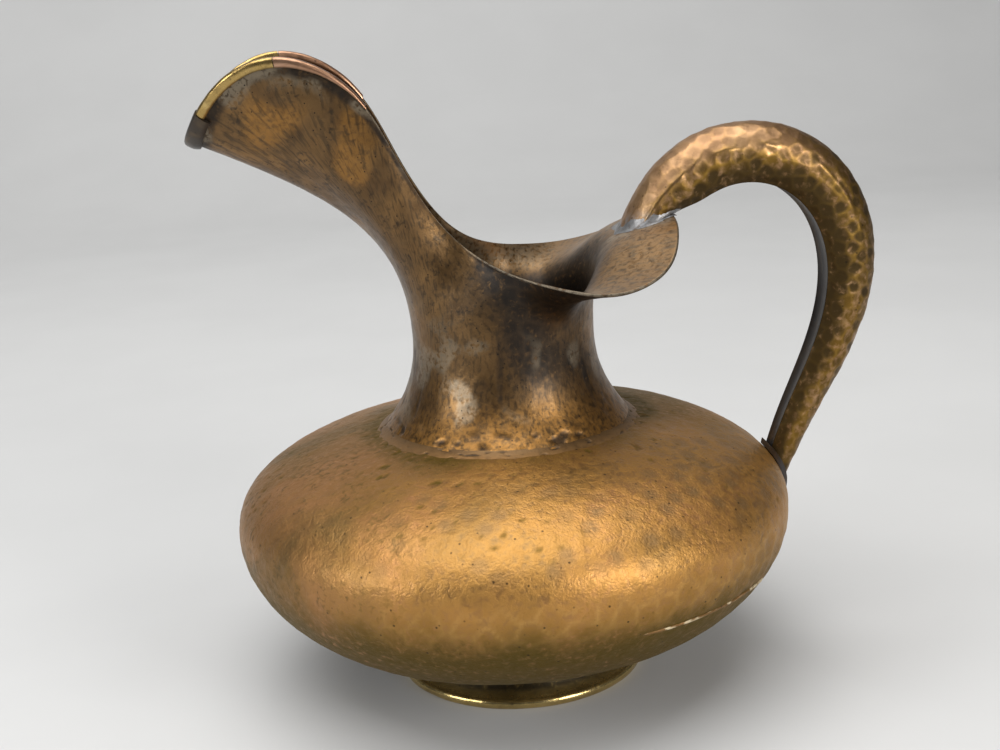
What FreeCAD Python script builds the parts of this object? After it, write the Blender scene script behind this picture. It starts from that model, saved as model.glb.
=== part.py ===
"""Hammered copper ewer: raised belly, trumpet neck with an open spout, loop handle and foot ring.

Frame: the origin is the centre of the circle that the foot rests on, +Z is up, the spout points
to -X and the handle stands at +X. Lengths are in millimetres and angles in degrees.
"""

import FreeCAD
import Part
import math
import os

Vector = FreeCAD.Vector

# Sheet, seams and clearances
sheet = 1.2
joint_gap = 0.15
seam_gap = 0.25
braze_width = 0.8
braze_proud = 0.3
solder_height = 1.8
solder_spread = 2.2
overrun = 20.0

# Belly: an elliptical bowl below its widest line and a fuller shoulder above it
belly_radius = 100.0
bowl_clearance = 7.0
bowl_depth = 53.0
shoulder_rise = 36.0
shoulder_power = 2.3
seam_drop = 14.0
bowl_flat_radius = 10.0

# Neck: a foot flare on the shoulder that draws in to a round waist
neck_base_radius = 45.0
waist_radius = 32.4
waist_rise = 66.0
neck_pull_shares = ((0.32, 0.17), (1.0, 0.45))
# How far the wall first runs straight up from the waist, and how much less it does under the spout
rise_share = 0.85
spout_rise_share = 0.12

# Spout and mouth
spout_reach = 103.0
mouth_reach = 62.0
mouth_half_width = 54.7
spout_rise = 100.8

# Rim from the spout's tip along one side to the back. Each row gives the place on the rim along,
# across and up, then how far up and how far out its wall bends over on the way from the waist.
rim_shares = (
    (-1.000, 0.000, 0.739, 0.70, 0.31),
    (-0.917, 0.311, 0.878, 0.66, 0.50),
    (-0.689, 0.448, 1.000, 0.62, 0.90),
    (-0.476, 0.457, 0.905, 0.60, 1.15),
    (-0.306, 0.430, 0.615, 0.67, 1.10),
    (-0.141, 0.380, 0.357, 0.73, 0.75),
    (-0.010, 0.585, 0.270, 0.75, 0.55),
    (0.266, 0.850, 0.220, 0.80, 0.30),
    (0.532, 1.000, 0.207, 0.80, 0.30),
    (0.774, 0.914, 0.246, 0.82, 0.28),
    (0.942, 0.561, 0.336, 0.85, 0.27),
    (1.000, 0.000, 0.372, 0.87, 0.27),
)
# The bearing on the round waist, from the spout, that each row of the rim rises from
waist_bearings = (0, 7.5, 16, 23, 35, 61, 88, 105, 120, 133, 152, 180)

# Brass binding folded over the spout's lip, with its joints as shares of the whole rim
band_sheet = 0.8
band_leg = 2.6
band_end_leg = 0.9
clip_sheet = 1.2
clip_leg = 6.0
clip_end_share = 0.034
band_joint_share = 0.0935
band_end_share = 0.156

# Handle: a hammered channel closed by a smooth strip on its inner side
handle_thickness = 21.2
handle_width = 20.5
handle_overhang = 27.0
crown_rise = 58.0
tail_rise = 6.0
root_sink = 3.0
tail_sink = 15.0
strip_half_angle = 42.0
strip_hollow_share = 0.16
root_level_share = 0.74
# The patch of the mouth that carries the handle: half its turn, and its levels to just past the rim
patch_turn_share = 0.09
patch_level_shares = (0.35, 1.06)
# Path from the mouth up over the crown: along, up, thickness and width as shares, and the lean
# of the section from square to the path
upper_path_shares = (
    (0.116, 0.344, 0.816, 1.07, 29.0),
    (0.230, 0.680, 0.920, 1.05, 4.0),
    (0.388, 0.942, 0.972, 1.02, 0.0),
    (0.684, 0.900, 1.000, 1.00, 0.0),
    (0.905, 0.320, 0.990, 0.95, 0.0),
)
# Path from the outermost bend down to the belly, in the same order
lower_path_shares = (
    (1.000, 0.653, 0.906, 0.88, 0.0),
    (0.783, 0.403, 0.745, 0.76, 0.0),
    (0.224, 0.131, 0.557, 0.59, 0.0),
    (0.000, 0.000, 0.448, 0.54, 0.0),
)
root_size_shares = (0.943, 1.07)
root_lean = 57.0
tail_size_shares = (0.330, 0.49)

# Foot: a flared wall with a wired edge
foot_radius = 45.4
foot_neck_radius = 38.0
foot_wall_bow = 1.2
bead_diameter = 4.0
bead_flat = 0.15
wire_diameter = 1.6
foot_fillet = 1.6

# Heights of the belly's widest line, the waist, the spout's peak, and the handle's crown and tail
belly_height = bowl_clearance + bowl_depth
waist_height = belly_height + waist_rise
peak_height = waist_height + spout_rise
crown_height = waist_height + crown_rise
tail_height = belly_height + tail_rise

# How finely the free-form skins are worked out
rim_step_count = 3
wrap_count = 6
foot_level_count = 6
wall_level_count = 12
handle_count = 25
section_count = 13
band_count = 9
profile_count = 14
probe_share = 0.001

full_turn = 360.0
half_turn = 180.0
quarter_turn = 90.0
half_share = 0.5
back_share = 0.5
ORIGIN = Vector(0, 0, 0)
Y_AXIS = Vector(0, 1, 0)
Z_AXIS = Vector(0, 0, 1)


def between(start, end, share):
    """The value or place at a share of the way from start to end."""
    return start + (end - start) * share


def bezier(start, first_pull, second_pull, end, share):
    """A point on a cubic curve given by its ends and its two pulls."""
    rest = 1 - share
    outer_part = start * rest**3 + end * share**3
    return outer_part + (first_pull * rest + second_pull * share) * (3 * rest * share)


def chord_parameters(points):
    """Parameters from 0 to 1 in step with the distance along the points."""
    steps = [a.distanceToPoint(b) for a, b in zip(points, points[1:])]
    total = sum(steps)
    return [sum(steps[:count]) / total for count in range(len(points))]


def smooth_curve(points, parameters):
    """An open curve through points."""
    curve = Part.BSplineCurve()
    curve.interpolate(Points=points, Parameters=parameters)
    return curve


def wrapped(points):
    """A closed run of points, carried on past both of its ends."""
    return points[-wrap_count:] + points + points[:wrap_count + 1]


def wrapped_shares(shares):
    """Shares of one turn from 0 to just under 1, carried on past both of its ends."""
    return [share - 1 for share in shares[-wrap_count:]] + shares + [
        share + 1 for share in shares[:wrap_count + 1]]


def revolved(edges):
    """The ring made by turning a closed outline in the XZ plane about Z."""
    return Part.Face(Part.Wire(edges)).revolve(ORIGIN, Z_AXIS, full_turn)


def line_edges(points):
    """The straight edges from each point to the next."""
    return [Part.LineSegment(a, b).toShape() for a, b in zip(points, points[1:])]


def largest(shape):
    """The largest solid of a trimmed shape."""
    return max(shape.Solids, key=lambda solid: solid.Volume)


def sewn_solid(faces):
    """One solid from the faces that bound it."""
    shell = Part.makeShell(faces)
    shell.sewShape()
    solid = Part.makeSolid(shell)
    if solid.Volume < 0:
        solid.reverse()
    return solid


# Belly

def bowl_radius(height, grow=0):
    """Radius of the bowl's outer face at a height, with the face moved out by grow."""
    drop = (belly_height - height) / (bowl_depth + grow)
    return (belly_radius + grow) * math.sqrt(1 - drop**2)


def bowl_surface_height(radius, grow=0):
    """Height of the bowl's outer face at a radius."""
    return belly_height - (bowl_depth + grow) * math.sqrt(1 - (radius / (belly_radius + grow))**2)


def shoulder_height(radius, grow=0):
    """Height of the shoulder's outer face at a radius."""
    spread = (radius / (belly_radius + grow))**shoulder_power
    return belly_height + (shoulder_rise + grow) * (1 - spread)**(1 / shoulder_power)


def shoulder_radius(height, grow=0):
    """Radius of the shoulder's outer face at a height."""
    climb = ((height - belly_height) / (shoulder_rise + grow))**shoulder_power
    return (belly_radius + grow) * (1 - climb)**(1 / shoulder_power)


def bowl_arc(start_height, end_height, grow=0):
    """The bowl's outline between two heights, the lower one first."""
    centre = Vector(0, 0, belly_height)
    lowest = Vector(0, 0, belly_height - bowl_depth - grow)
    ellipse = Part.Ellipse(Vector(belly_radius + grow, 0, belly_height), lowest, centre)
    ends = [Vector(bowl_radius(height, grow), 0, height) for height in (end_height, start_height)]
    return Part.ArcOfEllipse(ellipse, *[ellipse.parameter(end) for end in ends]).toShape()


def shoulder_arc(end_radius, grow=0):
    """The shoulder's outline from the belly's widest line in to a radius."""
    end_angle = math.acos((end_radius / (belly_radius + grow))**(shoulder_power / 2))
    power = 2 / shoulder_power
    points = []
    for step in range(profile_count + 1):
        angle = end_angle * step / profile_count
        radius = (belly_radius + grow) * math.cos(angle)**power
        points.append(Vector(radius, 0, belly_height + (shoulder_rise + grow) * math.sin(angle)**power))
    return smooth_curve(points, chord_parameters(points)).toShape()


def low_and_high(edges):
    """The lowest and the highest end of a run of edges."""
    ends = [vertex.Point for edge in edges for vertex in edge.Vertexes]
    return min(ends, key=lambda end: end.z), max(ends, key=lambda end: end.z)


def sheet_outline(outer_edges, inner_edges, closed_on_axis=False):
    """The outline of a sheet between its two faces, whose edges run from low to high."""
    outer_low, outer_high = low_and_high(outer_edges)
    inner_low, inner_high = low_and_high(inner_edges)
    corners = [outer_low, inner_low]
    if closed_on_axis:
        corners[1:1] = [Vector(0, 0, outer_low.z), Vector(0, 0, inner_low.z)]
    ends = line_edges(corners) + line_edges([outer_high, inner_high])
    return Part.__sortEdges__(outer_edges + inner_edges + ends)


seam_height = belly_height - seam_drop
shoulder_opening = neck_base_radius + braze_width


def lower_bowl():
    """The raised bowl, with a small flat at its bottom."""
    flat = bowl_surface_height(bowl_flat_radius)
    top = seam_height - braze_width / 2
    return revolved(sheet_outline([bowl_arc(flat, top)], [bowl_arc(flat + sheet, top, -sheet)], True))


def shoulder():
    """The upper half of the belly, open at the neck."""
    foot = seam_height + braze_width / 2
    outer = [bowl_arc(foot, belly_height), shoulder_arc(shoulder_opening)]
    inner = [bowl_arc(foot, belly_height, -sheet), shoulder_arc(shoulder_opening, -sheet)]
    return revolved(sheet_outline(outer, inner))


def belly_seam_braze():
    """The ring of braze between the bowl and the shoulder, standing a little proud."""
    low, high = seam_height - braze_width / 2, seam_height + braze_width / 2
    corners = [Vector(bowl_radius(height, grow), 0, height)
               for height, grow in ((low, -sheet), (low, 0), (high, 0), (high, -sheet))]
    crest = Vector(bowl_radius(seam_height, braze_proud), 0, seam_height)
    face = Part.Arc(corners[1], crest, corners[2]).toShape()
    return revolved([face] + line_edges(corners[2:] + corners[:2]))


def belly_block(grow):
    """The whole belly as a filled form, with its face moved out by grow."""
    flat = bowl_surface_height(bowl_flat_radius, grow)
    edges = [bowl_arc(flat, belly_height, grow), shoulder_arc(neck_base_radius, grow)]
    low, high = low_and_high(edges)
    corners = [low, Vector(0, 0, low.z), Vector(0, 0, high.z), high]
    return revolved(Part.__sortEdges__(edges + line_edges(corners)))


# Neck, spout and mouth

def rim_point(row):
    """The place of one row of the rim on the side towards -Y."""
    along, across, climb = row[:3]
    reach = spout_reach if along < 0 else mouth_reach
    height = between(waist_height, peak_height, climb)
    return Vector(along * reach, -across * mouth_half_width, height)


def rim_curves():
    """The rim, a second curve that carries its bearings and bends, and their parameters over one turn."""
    rows = list(zip(rim_shares, waist_bearings))
    places = [rim_point(row) for row, _ in rows]
    guides = [Vector(bearing, *row[3:]) for row, bearing in rows]
    places += [Vector(p.x, -p.y, p.z) for p in places[-2:0:-1]]
    guides += [Vector(full_turn - g.x, g.y, g.z) for g in guides[-2:0:-1]]
    parameters = chord_parameters(places + places[:1])[:-1]
    level_guides = [g - Vector(full_turn * u, 0, 0) for g, u in zip(guides, parameters)]
    wide = wrapped_shares(parameters)
    return smooth_curve(wrapped(places), wide), smooth_curve(wrapped(level_guides), wide), parameters


rim_line, rim_guide, rim_parameters = rim_curves()
neck_base_height = shoulder_height(neck_base_radius)


def neck_point(bearing, level):
    """A point of the round neck, from level 0 on the shoulder to level 1 at the waist."""
    start = Vector(neck_base_radius, 0, neck_base_height)
    end = Vector(waist_radius, 0, waist_height)
    pulls = [Vector(between(start.x, end.x, inward), 0, between(start.z, end.z, upward))
             for inward, upward in neck_pull_shares]
    place = bezier(start, pulls[0], pulls[1], end, level)
    turn = math.radians(bearing)
    return Vector(-place.x * math.cos(turn), -place.x * math.sin(turn), place.z)


def outer_point(turn_share, level):
    """A point of the outer skin at a share of the turn round the rim.

    Levels 0 to 1 run up the round neck and levels 1 to 2 from its waist to the rim.
    """
    turn_share = turn_share % 1
    guide = rim_guide.value(turn_share)
    bearing = guide.x + full_turn * turn_share
    if level < 1:
        return neck_point(bearing, level)
    waist = neck_point(bearing, 1)
    rim = rim_line.value(turn_share)
    rise = (rim.z - waist.z) * guide.y
    first_pull = waist + Z_AXIS * rise * (rise_share - spout_rise_share * math.cos(math.radians(bearing)))
    second_pull = between(waist, rim, guide.z)
    second_pull.z = waist.z + rise
    return bezier(waist, first_pull, second_pull, rim, level - 1)


def skin_directions(turn_share, level):
    """Unit directions up the sheet and out of it at a point of the outer skin."""
    upward = outer_point(turn_share, level + probe_share) - outer_point(turn_share, level - probe_share)
    sideways = outer_point(turn_share + probe_share, level) - outer_point(turn_share - probe_share, level)
    outward = sideways.cross(upward)
    return upward.normalize(), outward.normalize()


def skin_point(turn_share, level, grow=0):
    """A point of the skin, moved out of the sheet by grow."""
    outward = skin_directions(turn_share, level)[1]
    return outer_point(turn_share, level) + outward * grow


neck_levels = [step / foot_level_count for step in range(foot_level_count)]
neck_levels += [1 + step / wall_level_count for step in range(wall_level_count + 1)]


def skin_surface(turn_shares, levels, grow):
    """A smooth surface through the skin's points."""
    runs = [smooth_curve([skin_point(share, level, grow) for share in turn_shares], turn_shares)
            for level in levels]
    rises = [smooth_curve(list(column), levels) for column in zip(*[run.getPoles() for run in runs])]
    run, rise = runs[0], rises[0]
    surface = Part.BSplineSurface()
    surface.buildFromPolesMultsKnots(
        [curve.getPoles() for curve in rises], run.getMultiplicities(), rise.getMultiplicities(),
        run.getKnots(), rise.getKnots(), False, False, run.Degree, rise.Degree)
    return surface


def neck_and_spout():
    """The neck, spout and mouth, one sheet from the shoulder up to the rim."""
    ends = zip(rim_parameters, rim_parameters[1:] + [1])
    shares = [between(a, b, step / rim_step_count) for a, b in ends for step in range(rim_step_count)]
    skins = [skin_surface(wrapped_shares(shares), neck_levels, grow) for grow in (0, -sheet)]
    faces = []
    for start, end in ((0, back_share), (back_share, 1)):
        halves = [skin.copy() for skin in skins]
        for half in halves:
            half.segment(start, end, neck_levels[0], neck_levels[-1])
        faces += [half.toShape() for half in halves]
        for level in (neck_levels[0], neck_levels[-1]):
            faces.append(Part.makeRuledSurface(*[half.vIso(level).toShape() for half in halves]))
    return sewn_solid(faces)


def neck_seam_braze():
    """The ring of braze between the shoulder's opening and the foot of the neck."""
    base = outer_point(back_share, 0)
    upward, outward = skin_directions(back_share, 0)
    neck_edge = base - upward * joint_gap
    neck_inner = neck_edge - outward * sheet
    top = Vector(shoulder_opening, 0, shoulder_height(shoulder_opening))
    bottom = Vector(shoulder_opening, 0, shoulder_height(shoulder_opening, -sheet))
    crest = between(neck_edge, top, half_share) + Z_AXIS * braze_proud
    face = Part.Arc(neck_edge, crest, top).toShape()
    return revolved([face] + line_edges([top, bottom, neck_inner, neck_edge]))


# Binding on the spout's lip

def fold_section(turn_share, leg, thickness):
    """The outline of a strip folded over the rim, flat and square to the rim."""
    upward, outward = skin_directions(turn_share, 2)
    top = outer_point(turn_share, 2)
    reach = (top - outer_point(turn_share, 2 - probe_share)).Length / probe_share
    levels = [2 - leg / reach, 2 - leg * half_share / reach, 2]

    def side(grow, head):
        """One leg of the fold from its free edge to the rim, on a face moved out by grow."""
        places = [skin_point(turn_share, level, grow) - top for level in levels]
        corners = [top + outward * place.dot(outward) + upward * place.dot(upward) for place in places]
        corners[-1] += upward * head
        return corners

    far = joint_gap + thickness
    slot = side(joint_gap, joint_gap) + side(-sheet - joint_gap, joint_gap)[::-1]
    outer, inner = side(far, 0), side(-sheet - far, 0)[::-1]
    crown = between(outer[-1], inner[0], half_share) + upward * far
    fold = Part.Arc(outer[-1], crown, inner[0]).toShape()
    return Part.Wire(line_edges(outer) + [fold] + line_edges(inner + slot[::-1] + outer[:1]))


def folded_strip(start_share, end_share, start_leg, end_leg, thickness):
    """A strip folded over a stretch of the rim."""
    sections = []
    for step in range(band_count):
        share = step / (band_count - 1)
        leg = between(start_leg, end_leg, share)
        sections.append(fold_section(between(start_share, end_share, share), leg, thickness))
    return Part.makeLoft(sections, True, False)


def lip_bindings():
    """The clip round the spout's tip and two lengths of binding on each side of it."""
    split = joint_gap / rim_line.length(0, 1)
    pieces = {"lip_tip_clip": folded_strip(-clip_end_share, clip_end_share, clip_leg, clip_leg, clip_sheet)}
    for side, sign in (("left", 1), ("right", -1)):
        front = sign * (clip_end_share + split), sign * (band_joint_share - split)
        rear = sign * (band_joint_share + split), sign * band_end_share
        pieces["lip_binding_front_" + side] = folded_strip(*front, band_leg, band_leg, band_sheet)
        pieces["lip_binding_rear_" + side] = folded_strip(*rear, band_leg, band_end_leg, band_sheet)
    return pieces


# Handle

def handle_path():
    """Curves for the handle's middle line and for its thickness, width and lean."""
    level = 1 + root_level_share
    root = outer_point(back_share, level)
    tail = Vector(shoulder_radius(tail_height), 0, tail_height)
    far = Vector(belly_radius + handle_overhang, 0, crown_height)
    rows = [(root, row) for row in upper_path_shares] + [(tail, row) for row in lower_path_shares]
    places = [skin_point(back_share, level, root_sink)]
    for base, row in rows:
        places.append(Vector(between(base.x, far.x, row[0]), 0, between(base.z, far.z, row[1])))
    places.append(tail + (tail - places[-2]).normalize() * tail_sink)
    forms = [(*root_size_shares, root_lean)] + [row[2:] for _, row in rows] + [(*tail_size_shares, 0)]
    sizes = [Vector(form[0] * handle_thickness, form[1] * handle_width, form[2]) for form in forms]
    parameters = chord_parameters(places)
    return smooth_curve(places, parameters), smooth_curve(sizes, parameters)


def handle_places():
    """Places along the handle: middle, outward direction, thickness and width."""
    middle_line, size_line = handle_path()
    places = []
    for step in range(handle_count):
        share = step / (handle_count - 1)
        along = middle_line.tangent(share)[0]
        thickness, width, lean = size_line.value(share)
        bearing = math.atan2(along.z, along.x) + math.radians(quarter_turn + lean)
        outward = Vector(math.cos(bearing), 0, math.sin(bearing))
        places.append((middle_line.value(share), outward, thickness, width))
    return places


seam_angle = math.radians(half_turn - strip_half_angle)


def handle_arc(place, grow):
    """The hammered channel's outline at one place, moved out by grow, and its two end points."""
    middle, outward, thickness, width = place
    rise = thickness / (1 - math.cos(seam_angle))
    centre = middle + outward * (thickness / 2 - rise)
    points = []
    for step in range(section_count):
        angle = seam_angle * (2 * step / (section_count - 1) - 1)
        out = outward * (rise + grow) * math.cos(angle)
        points.append(centre + out + Y_AXIS * (width / 2 + grow) * math.sin(angle))
    return smooth_curve(points, chord_parameters(points)).toShape(), points[0], points[-1]


def hollow_edge(start, end, outward, depth):
    """A shallow curve across the handle's inner side, bowed towards its crown."""
    middle = between(start, end, half_share) + outward * depth
    return Part.Arc(start, middle, end).toShape()


def channel_section(place):
    """The hammered channel's section at one place."""
    outer, outer_start, outer_end = handle_arc(place, 0)
    inner, inner_start, inner_end = handle_arc(place, -sheet)
    end, start = line_edges([outer_end, inner_end]), line_edges([inner_start, outer_start])
    return Part.Wire([outer] + end + [inner] + start)


def strip_section(place):
    """The section of the strip that closes the channel at one place."""
    _, outward, _, width = place
    inset = Y_AXIS * seam_gap
    _, outer_start, outer_end = handle_arc(place, 0)
    _, inner_start, inner_end = handle_arc(place, -sheet)
    corners = [outer_start + inset, outer_end - inset, inner_end - inset, inner_start + inset]
    hollow = strip_hollow_share * width / 2
    face = hollow_edge(corners[0], corners[1], outward, hollow)
    back = hollow_edge(corners[2], corners[3], outward, hollow)
    return Part.Wire([face] + line_edges(corners[1:3]) + [back] + line_edges([corners[3], corners[0]]))


def filled_section(place, grow):
    """The handle's whole outline at one place, moved out by grow."""
    outer, start, end = handle_arc(place, grow)
    return Part.Wire([outer] + line_edges([end, start]))


def root_patch(grow):
    """The part of the mouth's inner face that the handle stands on, moved into the mouth by grow."""
    steps = [step / section_count for step in range(section_count + 1)]
    turns = [back_share + patch_turn_share * (2 * step - 1) for step in steps]
    levels = [1 + between(*patch_level_shares, step) for step in steps]
    return skin_surface(turns, levels, -sheet - grow).toShape()


def handle_pieces():
    """The handle's channel and strip and the solder at both of its ends."""
    places = handle_places()
    outward = skin_directions(back_share, 1 + root_level_share)[1]
    below_mouth = root_patch(joint_gap).extrude(outward * overrun)
    belly = belly_block(joint_gap)
    channel = Part.makeLoft([channel_section(place) for place in places], True, False)
    strip = Part.makeLoft([strip_section(place) for place in places], True, False)
    core = Part.makeLoft([filled_section(place, seam_gap) for place in places], True, False)
    around = Part.makeLoft([filled_section(place, solder_spread) for place in places], True, False)
    on_mouth = root_patch(joint_gap).extrude(outward * -solder_height)
    on_belly = belly_block(joint_gap + solder_height).cut(belly)
    return {
        "handle_channel": largest(channel.cut(below_mouth).cut(belly)),
        "handle_strip": largest(strip.cut(below_mouth).cut(belly)),
        "handle_root_solder": largest(on_mouth.common(around).cut(core)),
        "handle_tail_solder": largest(on_belly.common(around).cut(core)),
    }


# Foot

bead_centre = Vector(foot_radius - bead_diameter / 2, 0, bead_diameter / 2 - bead_flat)
foot_top = Vector(foot_neck_radius, 0, bowl_surface_height(foot_neck_radius))


def foot_wall():
    """The flared wall of the foot, run up into the bowl."""
    low = Vector(bead_centre.x, 0, bead_centre.z + wire_diameter / 2 + joint_gap)
    high = foot_top + Z_AXIS * sheet
    middle = between(low, high, half_share) - Vector(foot_wall_bow, 0, 0)
    out = Vector(sheet / 2, 0, 0)
    outer = Part.Arc(low + out, middle + out, high + out).toShape()
    inner = Part.Arc(high - out, middle - out, low - out).toShape()
    top, bottom = line_edges([high + out, high - out]), line_edges([low - out, low + out])
    return revolved([outer] + top + [inner] + bottom)


def foot_pieces():
    """The foot ring, the wire in its edge and the solder under the bowl."""
    bowl = belly_block(0)
    floor = Part.makeCylinder(foot_radius + overrun, overrun, Vector(0, 0, -overrun))
    bead = Part.makeTorus(bead_centre.x, bead_diameter / 2, Vector(0, 0, bead_centre.z))
    bore = Part.makeTorus(bead_centre.x, wire_diameter / 2 + joint_gap, Vector(0, 0, bead_centre.z))
    wall = foot_wall().cut(bowl)
    ring = wall.fuse(bead).cut(bore).cut(floor).removeSplitter()
    wire = Part.makeTorus(bead_centre.x, wire_diameter / 2, Vector(0, 0, bead_centre.z))
    edge = foot_top + Vector(sheet / 2, 0, 0)
    corners = [edge - Z_AXIS * foot_fillet, edge + Vector(foot_fillet, 0, foot_fillet),
               edge + Vector(-sheet / 2, 0, foot_fillet)]
    fillet = revolved(line_edges(corners + corners[:1])).cut(foot_wall()).cut(bowl)
    return {"foot_ring": largest(ring), "foot_wire": wire, "foot_solder": largest(fillet)}


def all_pieces():
    """Every piece of the ewer by its name."""
    pieces = {
        "lower_bowl": lower_bowl(),
        "belly_seam_braze": belly_seam_braze(),
        "shoulder": shoulder(),
        "neck_seam_braze": neck_seam_braze(),
        "neck_and_spout": neck_and_spout(),
    }
    pieces.update(lip_bindings())
    pieces.update(handle_pieces())
    pieces.update(foot_pieces())
    return pieces


os.makedirs("parts", exist_ok=True)
for name, piece in all_pieces().items():
    piece.exportStep(os.path.join("parts", name + ".step"))
    box = piece.BoundBox
    print(f"{name}: valid {piece.isValid()}, {len(piece.Solids)} solid, {piece.Volume:.1f} mm3, "
          f"z {box.ZMin:.2f} to {box.ZMax:.2f}")
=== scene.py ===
"""Hammered copper ewer, dressed: detailed sheets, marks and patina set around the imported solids.

Lengths are in millimetres until a mesh is written, and the frame is the part's own: the foot rests
at the origin, +Z is up, the spout points to -X and the handle stands at +X.
"""

import logging
import math
from dataclasses import dataclass
from enum import Enum

import bpy
import numpy as np
from mathutils import Matrix, Vector, noise
from mathutils.kdtree import KDTree


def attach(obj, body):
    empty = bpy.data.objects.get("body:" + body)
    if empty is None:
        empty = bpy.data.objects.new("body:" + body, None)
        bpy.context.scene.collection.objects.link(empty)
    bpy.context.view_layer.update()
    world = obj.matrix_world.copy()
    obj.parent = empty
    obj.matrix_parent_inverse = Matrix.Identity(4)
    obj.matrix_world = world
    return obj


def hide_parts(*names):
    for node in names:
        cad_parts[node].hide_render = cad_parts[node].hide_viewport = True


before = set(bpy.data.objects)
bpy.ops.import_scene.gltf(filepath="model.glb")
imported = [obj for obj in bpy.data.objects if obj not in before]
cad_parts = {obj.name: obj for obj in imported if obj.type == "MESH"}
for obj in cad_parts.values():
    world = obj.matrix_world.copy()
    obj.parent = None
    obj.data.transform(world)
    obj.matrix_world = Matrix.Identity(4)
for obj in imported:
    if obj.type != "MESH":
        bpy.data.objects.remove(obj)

LOG = logging.getLogger("ewer")
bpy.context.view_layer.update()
MM = 0.001
SHARP_ANGLE = 50.0
FLAT = np.array([1.0, 1.0, 0.0])
UP = np.array([0.0, 0.0, 1.0])
Color = tuple[float, float, float]
Place = tuple[float, float, float]
Array = np.ndarray


class Mark(Enum):
    """Values that a mesh carries on its points for its finish to read."""

    RIDGE = "ridge"
    # Darkening: real stains in dents and joints, and painted shade in hollows, under overhangs, inside and on faces
    # turned from the lamps
    STAIN = "stain"
    WARM = "warm"
    PALE = "pale"
    FLOW = "flow"


class Ends(Enum):
    """How a grid of points ends along one of its axes."""

    CLOSED = "joined to its start"
    CAPPED = "a flat face at both ends"
    POLES = "a point at both ends"


Marks = dict[Mark, Array]


class Spline:
    """A smooth curve through rows of values at rising knots."""

    def __init__(self, knots: Array, values: Array) -> None:
        """Fit the curve.

        Args:
            knots: Rising places along the curve.
            values: One row of values for each knot.
        """
        self.knots, self.values = knots, values
        steps = np.diff(knots)
        slopes = np.diff(values, axis=0) / steps[:, None]
        system = np.zeros((len(knots), len(knots)))
        right = np.zeros_like(values)
        for row in range(1, len(knots) - 1):
            before, after = steps[row - 1], steps[row]
            system[row, row - 1:row + 2] = before, 2 * (before + after), after
            right[row] = 6 * (slopes[row] - slopes[row - 1])
        for row, ends in ((0, steps[:2]), (-1, steps[-2:])):
            columns = slice(0, 3) if row == 0 else slice(-3, None)
            system[row, columns] = 1 / ends[0], -1 / ends[0] - 1 / ends[1], 1 / ends[1]
        self.bends = np.linalg.solve(system, right)

    def at(self, places: Array) -> Array:
        """Values of the curve.

        Args:
            places: Places along the curve.

        Returns:
            One row of values for each place.
        """
        index = np.clip(np.searchsorted(self.knots, places, side="right") - 1, 0, len(self.knots) - 2)
        step = (self.knots[index + 1] - self.knots[index])[:, None]
        after = (places - self.knots[index])[:, None] / step
        before = 1 - after
        bend = (before**3 - before) * self.bends[index] + (after**3 - after) * self.bends[index + 1]
        return before * self.values[index] + after * self.values[index + 1] + bend * step**2 / 6


@dataclass(frozen=True)
class Ramp:
    """A soft step from 0 to 1, which falls where its end is below its start."""

    start: float
    end: float

    def at(self, values: Array) -> Array:
        """Height of the step at each value."""
        share = np.clip((values - self.start) / (self.end - self.start), 0, 1)
        return share * share * (3 - 2 * share)


@dataclass(frozen=True)
class Belt:
    """A soft band that rises over one ramp and falls over another."""

    rise: Ramp
    fall: Ramp

    def at(self, values: Array) -> Array:
        """Share of the band at each value."""
        return self.rise.at(values) * self.fall.at(values)


@dataclass(frozen=True)
class Cloud:
    """Soft noise in space with patches of one size."""

    size: float
    seed: float = 0.0
    height: float = 1.0

    def at(self, points: Array) -> Array:
        """Read the noise.

        Args:
            points: Points, with x, y and z along the last axis.

        Returns:
            Values from about -height to height, shaped as the points are.
        """
        flat = points.reshape(-1, 3) / self.size + self.seed
        values = np.array([noise.noise(row) for row in flat.tolist()])
        return values.reshape(points.shape[:-1]) * self.height


@dataclass(frozen=True)
class Side:
    """One side of a turned form, with a soft edge that wanders.

    The bearing is in degrees, from the viewer's side towards the handle. The edge runs over the cosine
    of the angle from it: 1 on that side, 0 at right angles to it and -1 behind it.
    """

    bearing: float
    spread: float
    edge: Ramp
    drift: Cloud = Cloud(26.0, 41.0)

    def at(self, points: Array) -> Array:
        """Share of each point that belongs to the side.

        Args:
            points: Points of the form.

        Returns:
            Shares from 0 to 1.
        """
        wander = self.spread * self.drift.at(points)
        turn = np.arctan2(points[..., 0], -points[..., 1]) - np.radians(self.bearing + wander)
        return self.edge.at(np.cos(turn))


@dataclass(frozen=True)
class Flaw:
    """A scatter of small dents and the share of stain that gathers in them."""

    pattern: Cloud
    edge: Ramp
    squash: float
    depth: float
    stain: float

    def at(self, points: Array) -> Array:
        """How far each point lies in a dent, from 0 to 1."""
        return self.edge.at(self.pattern.at(points * np.array([1.0, 1.0, self.squash])))


def unit(vectors: Array) -> Array:
    """Vectors scaled to length 1."""
    return vectors / np.maximum(np.linalg.norm(vectors, axis=-1, keepdims=True), 1e-9)


def grid_normals(points: Array, closed: bool) -> Array:
    """Unit normals of a grid of points.

    Args:
        points: Grid with the turn along the first axis and the rise along the second.
        closed: Whether the turn closes on itself.

    Returns:
        One normal for each point, along turn cross rise.
    """
    around = np.roll(points, -1, 0) - np.roll(points, 1, 0) if closed else np.gradient(points, axis=0)
    return unit(np.cross(around, np.gradient(points, axis=1)))


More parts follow.
